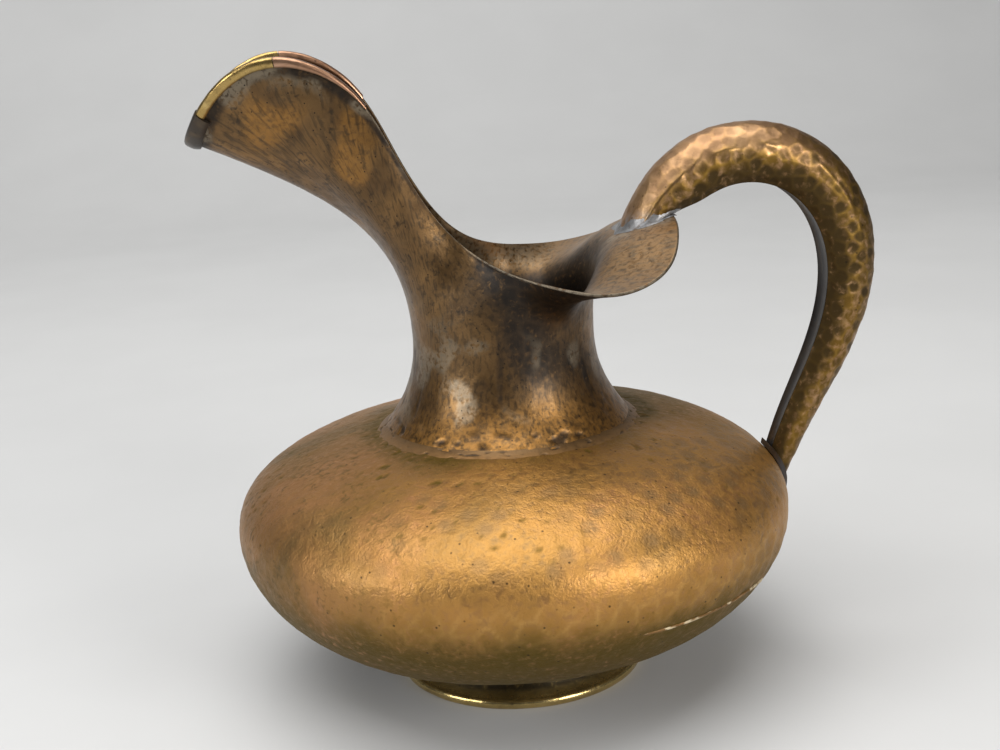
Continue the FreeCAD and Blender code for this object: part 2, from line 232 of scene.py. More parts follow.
def spun(outline: Array, turns: int) -> Array:
    """An outline turned about Z.

    Args:
        outline: Rows of radius and height.
        turns: How many copies go round.

    Returns:
        Grid of points, turn first.
    """
    angle = np.arange(turns) * 2 * math.pi / turns
    ring = np.stack([np.cos(angle), np.sin(angle)], -1)
    flat = ring[:, None, :] * outline[None, :, :1]
    heights = np.broadcast_to(outline[None, :, 1:], (turns, len(outline), 1))
    return np.concatenate([flat, heights], -1)


def even_outline(outline: Array, step: float) -> Array:
    """An outline with its points spaced evenly.

    Args:
        outline: Rows of radius and height.
        step: Wanted spacing.

    Returns:
        The new rows.
    """
    run = np.concatenate([[0], np.cumsum(np.linalg.norm(np.diff(outline, axis=0), axis=1))])
    places = np.linspace(0, run[-1], max(int(run[-1] / step), 2) + 1)
    return np.stack([np.interp(places, run, outline[:, axis]) for axis in (0, 1)], -1)


@dataclass
class Blows:
    """Hammer marks worked out over a surface, with a value for each of its points.

    A point is sunk by its dish. Its ridge is 1 between two blows, its heart is 0 at the edge of its
    blow and 1 in the middle, and its lot is a number from 0 to 1 that its whole blow shares.
    """

    dish: Array
    ridge: Array
    heart: Array
    lot: Array


@dataclass(frozen=True)
class HammerMarks:
    """Shallow dishes left by a hammer, set close together over a surface."""

    pitch: float
    depth: float
    seed: int
    edge: float = 0.3
    spacing: float = 0.86
    dish_share: float = 0.62
    shallowest: float = 0.55
    tries: int = 40000

    def places(self, points: Array) -> Array:
        """Choose the middles of the blows.

        Args:
            points: Grid of points of the surface.

        Returns:
            The chosen points, about one pitch apart.
        """
        flat = points.reshape(-1, 3)
        order = np.random.default_rng(self.seed).permutation(len(flat))[:self.tries]
        cells: dict[tuple[int, int, int], list[list[float]]] = {}
        chosen: list[list[float]] = []
        steps = [(a, b, c) for a in (-1, 0, 1) for b in (-1, 0, 1) for c in (-1, 0, 1)]
        for place in flat[order].tolist():
            key = tuple(math.floor(value / self.pitch) for value in place)
            near = (other for step in steps
                    for other in cells.get((key[0] + step[0], key[1] + step[1], key[2] + step[2]), ()))
            if all(math.dist(place, other) > self.pitch * self.spacing for other in near):
                chosen.append(place)
                cells.setdefault(key, []).append(place)
        return np.array(chosen)

    def field(self, points: Array) -> Blows:
        """Work out the marks over a surface.

        Args:
            points: Grid of points of the surface.

        Returns:
            The marks, shaped as the grid is.
        """
        middles = self.places(points)
        tree = KDTree(len(middles))
        for index, place in enumerate(middles.tolist()):
            tree.insert(place, index)
        tree.balance()
        draws = np.random.default_rng(self.seed + 1).random(len(middles))
        found = [tree.find_n(place, 2) for place in points.reshape(-1, 3).tolist()]
        near = np.array([row[0][2] for row in found])
        far = np.array([row[1][2] for row in found])
        lot = draws[[row[0][1] for row in found]]
        heart = 1 - np.clip((near / (self.dish_share * self.pitch))**2, 0, 1)
        dish = -heart * (self.shallowest + (1 - self.shallowest) * lot) * self.depth
        ridge = 1 - np.clip((far - near) / (self.edge * self.pitch), 0, 1)
        return Blows(*(values.reshape(points.shape[:-1]) for values in (dish, ridge, heart, lot)))


def write_mesh(name: str, points: Array, turn: Ends, rise: Ends, marks: Marks) -> bpy.types.Object:
    """Write a grid of points as a smooth closed mesh.

    Args:
        name: Name of the piece.
        points: Grid of points in millimetres, turn first.
        turn: How the first axis ends.
        rise: How the second axis ends.
        marks: Values for the finish, each shaped as the grid is.

    Returns:
        The new object, linked to the scene.
    """
    turns, rises = points.shape[:2]
    index = np.arange(turns * rises).reshape(turns, rises)
    here, beside = (index, np.roll(index, -1, 0)) if turn is Ends.CLOSED else (index[:-1], index[1:])
    if rise is Ends.CLOSED:
        quads = np.stack([here, beside, np.roll(beside, -1, 1), np.roll(here, -1, 1)], -1)
    else:
        quads = np.stack([here[:, :-1], beside[:, :-1], beside[:, 1:], here[:, 1:]], -1)
    faces = quads.reshape(-1, 4).tolist()
    flat = points.reshape(-1, 3)
    if turn is Ends.CAPPED:
        faces += [index[0].tolist(), index[-1][::-1].tolist()]
    if rise is Ends.POLES:
        flat = np.vstack([flat, points[:, 0].mean(0), points[:, -1].mean(0)])
        for pole, ring in ((turns * rises, index[::-1, 0]), (turns * rises + 1, index[:, -1])):
            faces += [[a, b, pole] for a, b in zip(ring.tolist(), np.roll(ring, -1).tolist())]
    mesh = bpy.data.meshes.new(name)
    mesh.from_pydata((flat * MM).tolist(), [], faces)
    corners = flat[quads.reshape(-1, 4)]
    volume = sum(np.einsum("ij,ij->", corners[:, 0], np.cross(corners[:, corner], corners[:, corner + 1]))
                 for corner in (1, 2))
    if volume < 0:
        mesh.flip_normals()
    mesh.polygons.foreach_set("use_smooth", np.ones(len(mesh.polygons), dtype=bool))
    for mark, values in marks.items():
        kind, key = ("FLOAT_VECTOR", "vector") if mark is Mark.FLOW else ("FLOAT", "value")
        rows = values.reshape(turns * rises, -1)
        rows = np.vstack([rows, np.repeat(rows[-1:], len(flat) - len(rows), 0)])
        layer = mesh.attributes.new(mark.value, kind, "POINT")
        layer.data.foreach_set(key, np.ascontiguousarray(rows, dtype=np.float32).ravel())
    mesh.set_sharp_from_angle(angle=math.radians(SHARP_ANGLE))
    mesh.update()
    piece = bpy.data.objects.new(name, mesh)
    bpy.context.scene.collection.objects.link(piece)
    return piece


def sheet_loop(outer: Array, normals: Array, thickness: float, rounded: bool) -> Array:
    """A sheet's section carried round from its outer face over its edge to its inner face.

    Args:
        outer: Grid of the outer face.
        normals: Its outward normals.
        thickness: Thickness of the sheet.
        rounded: Whether the last row is a free edge, which gets rounded.

    Returns:
        Grid of the whole loop, outer face first.
    """
    inner = outer - normals * thickness
    edge = np.zeros((len(outer), 0, 3))
    if rounded:
        upward = unit(outer[:, -1] - outer[:, -2])
        outer, inner = outer.copy(), inner.copy()
        outer[:, -1] -= upward * thickness / 2
        inner[:, -1] -= upward * thickness / 2
        middle = (outer[:, -1] + inner[:, -1]) / 2
        edge = np.stack([middle + normals[:, -1] * math.cos(angle) * thickness / 2
                         + upward * math.sin(angle) * thickness / 2
                         for angle in (math.pi / 4, math.pi / 2, math.pi * 3 / 4)], 1)
    return np.concatenate([outer, edge, inner[:, ::-1]], 1)


def loop_marks(outer: Array, inner: Array, total: int) -> Array:
    """Values for a whole sheet loop from those of its two faces.

    Args:
        outer: Values on the outer face.
        inner: Values on the inner face.
        total: Number of rows of the loop.

    Returns:
        Values for the loop, with the edge taking those of the outer face.
    """
    gap = total - outer.shape[1] - inner.shape[1]
    edge = np.repeat(outer[:, -1:], gap, 1)
    return np.concatenate([outer, edge, inner[:, ::-1]], 1)


class Layer(Enum):
    """Where each layer of a finish starts and ends on the noise that breaks it up."""

    MIDDLE = Ramp(0.32, 0.52)
    LIGHT = Ramp(0.5, 0.7)
    MOTTLE = Ramp(0.5, 0.68)
    MOTTLED_AREA = Ramp(0.35, 0.65)
    WARM = Ramp(0.2, 0.6)
    STREAK = Ramp(0.46, 0.66)
    STAIN = Ramp(0.1, 0.5)
    RIDGE = Ramp(0.25, 0.6)
    PALE = Ramp(0.3, 0.55)
    SPECK = Ramp(0.16, 0.07)
    SPECKED_AREA = Ramp(0.44, 0.58)
    PAPER = Ramp(0.3, 0.7)


class Graph:
    """A material's node tree, with short ways to add the nodes that the finishes use."""

    def __init__(self, material: bpy.types.Material) -> None:
        """Start from an empty tree.

        Args:
            material: The material that owns the tree.
        """
        material.use_nodes = True
        self.tree = material.node_tree
        self.tree.nodes.clear()

    def node(self, kind: str, inputs: dict | None = None, **settings: object) -> bpy.types.Node:
        """Add a node.

        Args:
            kind: Blender's name of the node type, without its ShaderNode start.
            inputs: Values or sockets by the input's name or number.
            settings: Properties of the node.

        Returns:
            The new node.
        """
        made = self.tree.nodes.new("ShaderNode" + kind)
        for key, value in settings.items():
            setattr(made, key, value)
        for key, value in (inputs or {}).items():
            if isinstance(value, bpy.types.NodeSocket):
                self.tree.links.new(value, made.inputs[key])
            else:
                made.inputs[key].default_value = value
        return made

    def grain(self, vector: bpy.types.NodeSocket, size: float, detail: float = 3.0,
              distortion: float = 0.0) -> bpy.types.NodeSocket:
        """Noise whose patches have a size in millimetres.

        Args:
            vector: Where the noise is read.
            size: Size of its patches.
            detail: How many finer layers it has.
            distortion: How much it swirls.

        Returns:
            Its value.
        """
        return self.node("TexNoise", {"Vector": vector, "Scale": 1 / (size * MM), "Detail": detail,
                                      "Distortion": distortion}).outputs[0]

    def step(self, value: bpy.types.NodeSocket, layer: Layer, top: float = 1.0) -> bpy.types.NodeSocket:
        """A soft step from 0 to a top value.

        Args:
            value: What is compared.
            layer: The layer whose start and end are taken.
            top: Value past the step.

        Returns:
            The stepped value.
        """
        ramp = layer.value
        return self.node("MapRange", {"Value": value, "From Min": ramp.start, "From Max": ramp.end, "To Max": top},
                         interpolation_type="SMOOTHSTEP").outputs[0]

    def math(self, operation: str, first: object, second: object) -> bpy.types.NodeSocket:
        """One sum of two values."""
        return self.node("Math", {0: first, 1: second}, operation=operation).outputs[0]

    def mix(self, share: object, first: object, second: object) -> bpy.types.NodeSocket:
        """Two colours mixed by a share.

        Args:
            share: How much of the second colour shows, as a value or a socket.
            first: The first colour or its socket.
            second: The second colour or its socket.

        Returns:
            The mixed colour.
        """
        colors = [value if isinstance(value, bpy.types.NodeSocket) else (*value, 1)
                  for value in (first, second)]
        return self.node("Mix", {0: share, 6: colors[0], 7: colors[1]}, data_type="RGBA").outputs[2]

    def mark(self, mark: Mark) -> bpy.types.Node:
        """The node that reads one of the values a mesh carries."""
        return self.node("Attribute", attribute_name=mark.value)


@dataclass(frozen=True)
class Patina:
    """The finish of one kind of worn metal."""

    name: str
    slot: str
    deep: Color
    middle: Color
    light: Color
    tone_size: float = 45.0
    mottle: Color = (0.05, 0.03, 0.015)
    mottle_size: float = 5.0
    mottle_share: float = 0.4
    streak: Color = (0.04, 0.028, 0.016)
    streak_share: float = 0.0
    ridge: Color = (0.75, 0.5, 0.2)
    ridge_share: float = 0.3
    stain: Color = (0.03, 0.022, 0.015)
    warm: Color = (0.6, 0.3, 0.09)
    pale: Color = (0.5, 0.42, 0.32)
    speck_share: float = 0.6
    speck_size: float = 3.4
    metallic: float = 0.85
    coat: float = 0.15
    roughness: float = 0.4
    roughness_spread: float = 0.2
    bump: float = 0.12
    bump_size: float = 1.6
    bump_depth: float = 0.5
    area_share: float = 0.4
    streak_size: float = 2.2
    speck: Color = (0.012, 0.009, 0.007)
    specked_size: float = 11.0
    stain_limit: float = 0.95
    stain_dulls: float = 0.18
    ridge_shines: float = 0.08
    coat_roughness: float = 0.32
    fine_relief: float = 1.5

    def material(self) -> bpy.types.Material:
        """Build the finish's material.

        Returns:
            The material.
        """
        made = bpy.data.materials.new(self.name)
        graph = Graph(made)
        where = graph.node("TexCoord").outputs["Object"]
        tone = graph.grain(where, self.tone_size, detail=4.0, distortion=0.6)
        fine = graph.grain(where, self.mottle_size, detail=6.0, distortion=0.4)
        color = graph.mix(graph.step(tone, Layer.MIDDLE), self.deep, self.middle)
        color = graph.mix(graph.step(tone, Layer.LIGHT), color, self.light)
        area = graph.step(graph.grain(where, self.tone_size * self.area_share, detail=2.0), Layer.MOTTLED_AREA)
        patches = graph.math("MULTIPLY", graph.step(fine, Layer.MOTTLE, self.mottle_share), area)
        color = graph.mix(patches, color, self.mottle)
        warm = graph.mark(Mark.WARM).outputs["Fac"]
        color = graph.mix(graph.math("MULTIPLY", warm, graph.step(fine, Layer.WARM)), color, self.warm)
        if self.streak_share:
            flow = graph.mark(Mark.FLOW).outputs["Vector"]
            lines = graph.grain(flow, self.streak_size, detail=6.0, distortion=0.4)
            color = graph.mix(graph.step(lines, Layer.STREAK, self.streak_share), color, self.streak)
        # The darkening mark mixes in the finish's darkest colour: real stains and painted shade alike
        stain = graph.mark(Mark.STAIN).outputs["Fac"]
        broken = graph.math("MULTIPLY", stain, graph.step(fine, Layer.STAIN))
        color = graph.mix(graph.math("MINIMUM", broken, self.stain_limit), color, self.stain)
        ridge = graph.mark(Mark.RIDGE).outputs["Fac"]
        worn = graph.math("MULTIPLY", ridge, graph.step(fine, Layer.RIDGE, self.ridge_share))
        color = graph.mix(worn, color, self.ridge)
        pale = graph.mark(Mark.PALE).outputs["Fac"]
        color = graph.mix(graph.math("MULTIPLY", pale, graph.step(fine, Layer.PALE)), color, self.pale)
        pits = graph.node("TexVoronoi", {"Vector": where, "Scale": 1 / (self.speck_size * MM)}).outputs["Distance"]
        specked = graph.step(graph.grain(where, self.specked_size, detail=2.0), Layer.SPECKED_AREA)
        holes = graph.math("MULTIPLY", graph.step(pits, Layer.SPECK, self.speck_share), specked)
        color = graph.mix(holes, color, self.speck)
        rough = graph.math("MULTIPLY_ADD", fine, self.roughness_spread)
        rough.node.inputs[2].default_value = self.roughness - self.roughness_spread / 2
        rough = graph.math("ADD", rough, graph.math("MULTIPLY", stain, self.stain_dulls))
        rough = graph.math("SUBTRACT", rough, graph.math("MULTIPLY", ridge, self.ridge_shines))
        height = graph.math("ADD", graph.grain(where, self.bump_size, detail=4.0),
                            graph.math("MULTIPLY", fine, self.fine_relief))
        normal = graph.node("Bump", {"Strength": self.bump, "Distance": self.bump_depth * MM,
                                     "Height": height}).outputs[0]
        shader = graph.node("BsdfPrincipled", {"Base Color": color, "Metallic": self.metallic,
                                               "Roughness": rough, "Coat Weight": self.coat,
                                               "Coat Roughness": self.coat_roughness, "Normal": normal})
        graph.node("OutputMaterial", {"Surface": shader.outputs[0]})
        return made


# BODY's warm colour is partly golden patina, partly the painted sheen of the front lamp; its ridge colour also gives
# painted glints on the front
BODY = Patina("patina_body", "body_copper", (0.22, 0.128, 0.046), (0.35, 0.18, 0.062), (0.47, 0.226, 0.09),
              tone_size=34.0, mottle=(0.12, 0.078, 0.032), mottle_size=2.2, mottle_share=0.8, ridge=(0.62, 0.37, 0.12),
              ridge_share=0.6, stain=(0.105, 0.068, 0.008), warm=(0.50, 0.256, 0.06), pale=(0.19, 0.125, 0.065),
              speck_share=0.75, metallic=0.88, coat=0.03, roughness=0.46, roughness_spread=0.36, bump=0.32,
              bump_size=0.8)
# NECK's near-black darkening colour paints the shade under the mouth and down the throat as well as stains in dents;
# its pale colour also gives painted highlights on the lit side
NECK = Patina("patina_neck", "neck_copper", (0.085, 0.046, 0.018), (0.14, 0.078, 0.029), (0.23, 0.125, 0.043),
              tone_size=22.0, mottle=(0.03, 0.021, 0.012), mottle_size=1.7, mottle_share=0.85,
              streak=(0.03, 0.021, 0.012), streak_share=0.6, ridge=(0.36, 0.22, 0.10), ridge_share=0.05,
              stain=(0.014, 0.011, 0.009), warm=(0.31, 0.15, 0.034), pale=(0.32, 0.26, 0.18), speck_share=1.0,
              speck_size=2.2, metallic=0.85, coat=0.14, roughness=0.42)
COLLAR = Patina("patina_collar", "braze", (0.11, 0.06, 0.022), (0.17, 0.095, 0.034), (0.23, 0.125, 0.043),
                tone_size=26.0, mottle=(0.05, 0.032, 0.016), mottle_size=2.4, mottle_share=0.75,
                stain=(0.05, 0.034, 0.02), warm=(0.30, 0.16, 0.054), metallic=0.75, coat=0.12, roughness=0.48)
# HANDLE's warm colour is the darker golden tone of the sides: painted shade against the lit top
HANDLE = Patina("patina_handle", "handle_copper", (0.30, 0.165, 0.085), (0.37, 0.215, 0.11), (0.44, 0.27, 0.14),
                tone_size=25.0, coat=0.05, mottle=(0.13, 0.075, 0.035), mottle_size=2.4, ridge=(0.30, 0.175, 0.036),
                ridge_share=0.5, stain=(0.05, 0.031, 0.01), warm=(0.125, 0.068, 0.007), pale=(0.36, 0.36, 0.37),
                metallic=0.93, roughness=0.4)
STRIP = Patina("patina_strip", "strip_dark", (0.022, 0.019, 0.019), (0.035, 0.03, 0.028), (0.06, 0.046, 0.034),
               tone_size=30.0, streak=(0.11, 0.08, 0.05), streak_share=0.4, metallic=0.6, coat=0.3, roughness=0.42)
BRASS = Patina("brass_binding", "lip_brass", (0.27, 0.175, 0.058), (0.40, 0.27, 0.09), (0.53, 0.38, 0.15),
               tone_size=14.0, mottle=(0.12, 0.075, 0.03), mottle_size=2.2, stain=(0.03, 0.022, 0.012), metallic=0.95,
               roughness=0.28)
ROSE = Patina("copper_binding", "lip_pink", (0.26, 0.135, 0.075), (0.36, 0.20, 0.12), (0.48, 0.29, 0.19),
              tone_size=14.0, mottle=(0.09, 0.05, 0.03), mottle_size=2.2, stain=(0.03, 0.022, 0.012), metallic=0.95,
              roughness=0.34)
# CLIP's near-black colours are partly the clip's own darker metal, partly painted shade on the spout's tip
CLIP = Patina("patina_clip", "clip_dark", (0.025, 0.018, 0.012), (0.04, 0.027, 0.016), (0.10, 0.062, 0.026),
              tone_size=8.0, metallic=0.7, coat=0.35, roughness=0.4)
SEAM = Patina("patina_seam", "braze", (0.25, 0.122, 0.05), (0.33, 0.163, 0.056), (0.39, 0.20, 0.062), tone_size=50.0,
              stain=(0.085, 0.056, 0.010), warm=(0.45, 0.232, 0.044), pale=(0.64, 0.54, 0.36), metallic=0.75,
              roughness=0.5)
# FOOT's ridge colour is partly polished brass, partly a painted highlight on the bead; its darkening colour paints the
# shade under the belly
FOOT = Patina("patina_foot", "foot_brass", (0.30, 0.21, 0.07), (0.45, 0.32, 0.11), (0.60, 0.44, 0.17),
              tone_size=20.0, mottle=(0.04, 0.028, 0.012), mottle_size=3.0, ridge=(0.66, 0.50, 0.20), ridge_share=0.7,
              stain=(0.025, 0.018, 0.01), metallic=0.9, coat=0.4, roughness=0.26)
SOLDER = Patina("dull_solder", "solder", (0.15, 0.15, 0.15), (0.24, 0.24, 0.245), (0.36, 0.36, 0.365),
                tone_size=6.0, mottle=(0.10, 0.062, 0.036), mottle_size=3.4, mottle_share=0.95, metallic=0.8,
                roughness=0.44)


class Dresser:
    """Hands out each finish's material once and sets pieces on the part."""

    def __init__(self) -> None:
        """Start with no material made."""
        self.made: dict[str, bpy.types.Material] = {}

    def material(self, finish: Patina) -> bpy.types.Material:
        """The material of a finish, made at its first use.

        Args:
            finish: The finish.

        Returns:
            Its material.
        """
        if finish.name not in self.made:
            self.made[finish.name] = finish.material()
        return self.made[finish.name]

    def place(self, piece: bpy.types.Object, finish: Patina, node: str) -> None:
        """Dress a piece and set it in the place of a solid.

        Args:
            piece: The new piece.
            finish: Its finish.
            node: Name of the solid that it stands for.
        """
        piece.data.materials.append(self.material(finish))
        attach(piece, "root")
        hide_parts(node)
        LOG.info("%s stands for %s with %d points", piece.name, node, len(piece.data.vertices))

    def coat(self, node: str, finish: Patina) -> None:
        """Give a solid that stays as it is a finish.

        Args:
            node: Name of the solid.
            finish: Its finish.
        """
        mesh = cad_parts[node].data
        mesh.materials.clear()
        mesh.materials.append(self.material(finish))
        LOG.info("%s keeps its solid", node)


@dataclass
class Belly:
    """The raised bowl and the shoulder, hammered and aged, with a painted sheen and glints on the front."""

    radius: float = 100.0
    height: float = 60.0
    bowl_depth: float = 53.0
    shoulder_rise: float = 36.0
    power: float = 2.3
    seam_height: float = 46.0
    seam_half: float = 0.02
    opening: float = 45.8
    flat_radius: float = 10.0
    pole_radius: float = 0.6
    sheet: float = 1.2
    turns: int = 520
    step: float = 1.5
    curve_points: int = 200
    hammer: HammerMarks = HammerMarks(7.5, 0.17, 11)
    long_wave: Cloud = Cloud(55.0, 0.0, 0.45)
    short_wave: Cloud = Cloud(22.0, 7.0, 0.16)
    drift: Cloud = Cloud(24.0, 43.0, 5.0)
    struck_belt: Belt = Belt(Ramp(44, 50), Ramp(66, 60))
    struck_extra: float = 1.2
    nicks: Flaw = Flaw(Cloud(3.4, 31.0), Ramp(0.42, 0.6), 2.4, 0.22, 0.65)
    nicked_area: Cloud = Cloud(34.0, 3.0)
    nicked_edge: Ramp = Ramp(-0.2, 0.2)
    nicked_above: Ramp = Ramp(55, 75)
    creases: Flaw = Flaw(Cloud(4.2, 12.0), Ramp(0.3, 0.55), 0.5, 0.3, 0.6)
    collar_reach: Ramp = Ramp(58, 48)
    collar_above: Ramp = Ramp(80, 88)
    collar_stain: float = 0.4
    front: Side = Side(20.0, 15.0, Ramp(0.4, 0.9))
    blot_belt: Belt = Belt(Ramp(66, 74), Ramp(92, 86))
    blot_lot: Ramp = Ramp(0.35, 0.6)
    blot_edge: Ramp = Ramp(0.3, 0.95)
    blot_share: float = 0.6
    blot_behind: float = 0.05
    # The bowl is painted darker towards the bottom
    under: Ramp = Ramp(68, 38)
    under_drift: Cloud = Cloud(13.0, 47.0, 5.0)
    # The upper shoulder is painted darker on the handle's side
    right: Side = Side(112.0, 15.0, Ramp(0.6, 0.95))
    right_above: Ramp = Ramp(78, 90)
    right_darkening: float = 0.7
    left: Side = Side(-75.0, 15.0, Ramp(0.4, 0.9))
    left_above: Ramp = Ramp(74, 88)
    left_stain: float = 0.45
    # Warm golden belt on the side facing the front lamp: partly the patina's golden tone, partly a painted highlight
    # of the lamp's sheen
    gold_and_sheen: Side = Side(38.0, 30.0, Ramp(-0.1, 0.75))
    gold_and_sheen_belt: Belt = Belt(Ramp(44, 54), Ramp(99, 90))
    gold_and_sheen_share: float = 0.65
    ridge_share: float = 0.12
    # Painted glints: extra ridge brightness on the struck belt where it faces the front
    front_glint: float = 0.6
    ridge_dulled: float = 0.8

    def outline(self) -> Array:
        """The belly's outline from the bottom's middle up to the opening.

        Returns:
            Rows of radius and height.
        """
        low = np.linspace(math.asin(self.flat_radius / self.radius), math.pi / 2, self.curve_points)
        bowl = np.stack([self.radius * np.sin(low), self.height - self.bowl_depth * np.cos(low)], -1)
        end = math.acos((self.opening / self.radius)**(self.power / 2))
        high = np.linspace(0, end, self.curve_points)[1:]
        lift = 2 / self.power
        top = np.stack([self.radius * np.cos(high)**lift,
                        self.height + self.shoulder_rise * np.sin(high)**lift], -1)
        start = np.array([[self.pole_radius, bowl[0, 1]]])
        return np.vstack([start, bowl, top])

    def inside(self, points: Array, grow: float) -> Array:
        """Whether points lie inside the belly's face.

        Args:
            points: The points.
            grow: How far the face is moved out first.

        Returns:
            True or false for each point.
        """
        reach = np.hypot(points[..., 0], points[..., 1]) / (self.radius + grow)
        up = points[..., 2] - self.height
        low = reach**2 + (up / (self.bowl_depth + grow))**2
        high = reach**self.power + (np.abs(up) / (self.shoulder_rise + grow))**self.power
        return np.where(up < 0, low, high) < 1

    def bowl_radius(self, height: float) -> float:
        """Radius of the bowl's face at a height."""
        return self.radius * math.sqrt(1 - ((self.height - height) / self.bowl_depth)**2)

    def bowl_height(self, reach: float) -> float:
        """Height of the bowl's face at a distance from the axis."""
        return self.height - self.bowl_depth * math.sqrt(1 - (reach / self.radius)**2)

    def top_height(self, reach: float) -> float:
        """Height of the shoulder's face at a distance from the axis."""
        return self.height + self.shoulder_rise * (1 - (reach / self.radius)**self.power)**(1 / self.power)

    def wave(self, points: Array) -> Array:
        """How far the worked sheet bulges or sinks at points on it."""
        return self.long_wave.at(points) + self.short_wave.at(points)

    def halves(self) -> tuple[Array, Array]:
        """The outline split at the seam.

        Returns:
            Rows of radius and height for the bowl and for the shoulder.
        """
        outline = self.outline()
        below, above = self.seam_height - self.seam_half, self.seam_height + self.seam_half
        low, high = outline[outline[:, 1] < below], outline[outline[:, 1] > above]
        return (even_outline(np.vstack([low, [[self.bowl_radius(below), below]]]), self.step),
                even_outline(np.vstack([[[self.bowl_radius(above), above]], high]), self.step))

    def worked(self, outer: Array) -> tuple[Array, Marks]:
        """Hammer and age the outer face, and paint a sheen and glints on its front.

        Args:
            outer: Grid of the true form.

        Returns:
            The hammered grid and the values for its finish.
        """
        normals = grid_normals(outer, True)
        blows = self.hammer.field(outer)
        height = outer[..., 2] + self.drift.at(outer)
        reach = np.hypot(outer[..., 0], outer[..., 1])
        struck, front = self.struck_belt.at(height), self.front.at(outer)
        dent = self.nicks.at(outer) * self.nicked_edge.at(self.nicked_area.at(outer)) * self.nicked_above.at(height)
        collar = self.collar_reach.at(reach) * self.collar_above.at(height)
        crease = self.creases.at(outer) * collar
        moved = outer + normals * (blows.dish * (1 + self.struck_extra * struck) + self.wave(outer)
                                   - dent * self.nicks.depth - crease * self.creases.depth)[..., None]
        shown = self.blot_behind + (1 - self.blot_behind) * front
        blot = self.blot_lot.at(blows.lot) * self.blot_edge.at(blows.heart) * self.blot_belt.at(height) * shown
        under = self.under.at(height + self.under_drift.at(outer))
        stain = (dent * self.nicks.stain + crease * self.creases.stain + under + collar * self.collar_stain
                 + self.right.at(outer) * self.right_above.at(height) * self.right_darkening
                 + self.left.at(outer) * self.left_above.at(height) * self.left_stain)
        # Worn ridges, brightened on the struck front as painted glints and dulled towards the bottom
        worn = (self.ridge_share + self.front_glint * struck * front) * (1 - self.ridge_dulled * under)
        marks = {Mark.RIDGE: blows.ridge * worn, Mark.STAIN: np.clip(stain, 0, 1),
                 Mark.WARM: self.gold_and_sheen.at(outer) * self.gold_and_sheen_belt.at(height) * self.gold_and_sheen_share,
                 Mark.PALE: np.clip(blot * self.blot_share, 0, 1)}
        return moved, marks

    def build(self, dresser: Dresser) -> None:
        """Make the bowl and the shoulder.

        Args:
            dresser: Sets the pieces on the part.
        """
        low, high = self.halves()
        outer = spun(np.vstack([low, high]), self.turns)
        moved, marks = self.worked(outer)
        for name, rows, rise in (("bowl_hammered", slice(0, len(low)), Ends.POLES),
                                 ("shoulder_hammered", slice(len(low), None), Ends.CLOSED)):
            face = moved[:, rows]
            loop = sheet_loop(face, grid_normals(outer[:, rows], True), self.sheet, False)
            # The inner face takes the full darkening: painted shade inside the sheet
            inner_shade = np.ones(face.shape[:2])
            lining = {mark: inner_shade if mark is Mark.STAIN else inner_shade * 0 for mark in marks}
            shown = {mark: loop_marks(values[:, rows], lining[mark], loop.shape[1])
                     for mark, values in marks.items()}
            node = "lower_bowl" if rise is Ends.POLES else "shoulder"
            dresser.place(write_mesh(name, loop, Ends.CLOSED, rise, shown), BODY, node)


@dataclass
class Seam:
    """The bead of braze between bowl and shoulder, with the bright nicks filed into it."""

    belly: Belly
    proud: float = 0.3
    sunk: float = 0.1
    half_height: float = 0.5
    half_arc: float = 1.2
    arc_points: int = 9
    turns: int = 900
    grain: Cloud = Cloud(2.6, 5.0)
    grain_depth: float = 0.3
    nicked: Belt = Belt(Ramp(14, 22), Ramp(60, 52))
    nicked_lift: float = 0.12
    hidden_depth: float = 0.9
    spur_bearing: float = 84.0
    spur_width: float = 1.1
    spur_length: float = 3.0
    bright: Ramp = Ramp(0.08, 0.3)
    stain: float = 0.5
    warm_share: float = 0.2

    def build(self, dresser: Dresser) -> None:
        """Make the bead, sunk out of sight but for its nicked stretch and one spur.

        Args:
            dresser: Sets the piece on the part.
        """
        angles = np.linspace(-self.half_arc, self.half_arc, self.arc_points)
        ring = self.belly.bowl_radius(self.belly.seam_height) - self.sunk
        outline = np.stack([ring + self.proud * np.cos(angles),
                            self.belly.seam_height + self.half_height * np.sin(angles)], -1)
        back = outline[::-1] - np.array([self.belly.sheet, 0.0])
        points = spun(np.vstack([outline, back]), self.turns)
        grain = self.grain.at(points)
        bearing = np.degrees(np.arctan2(points[..., 0], -points[..., 1]))
        cut = self.nicked.at(bearing)
        spur = np.exp(-((bearing - self.spur_bearing) / self.spur_width)**2)
        swell = (cut * (grain * self.grain_depth + self.nicked_lift) - self.hidden_depth * (1 - cut)
                 + spur * self.spur_length)
        swell = swell * np.repeat([1.0, 0.0], self.arc_points)
        points = points + unit(points * FLAT) * (swell + self.belly.wave(points))[..., None]
        pale = self.bright.at(grain) * cut
        marks = {Mark.PALE: pale, Mark.STAIN: np.full(pale.shape, self.stain), Mark.WARM: pale * self.warm_share}
        dresser.place(write_mesh("seam_bead", points, Ends.CLOSED, Ends.CLOSED, marks), SEAM, "belly_seam_braze")


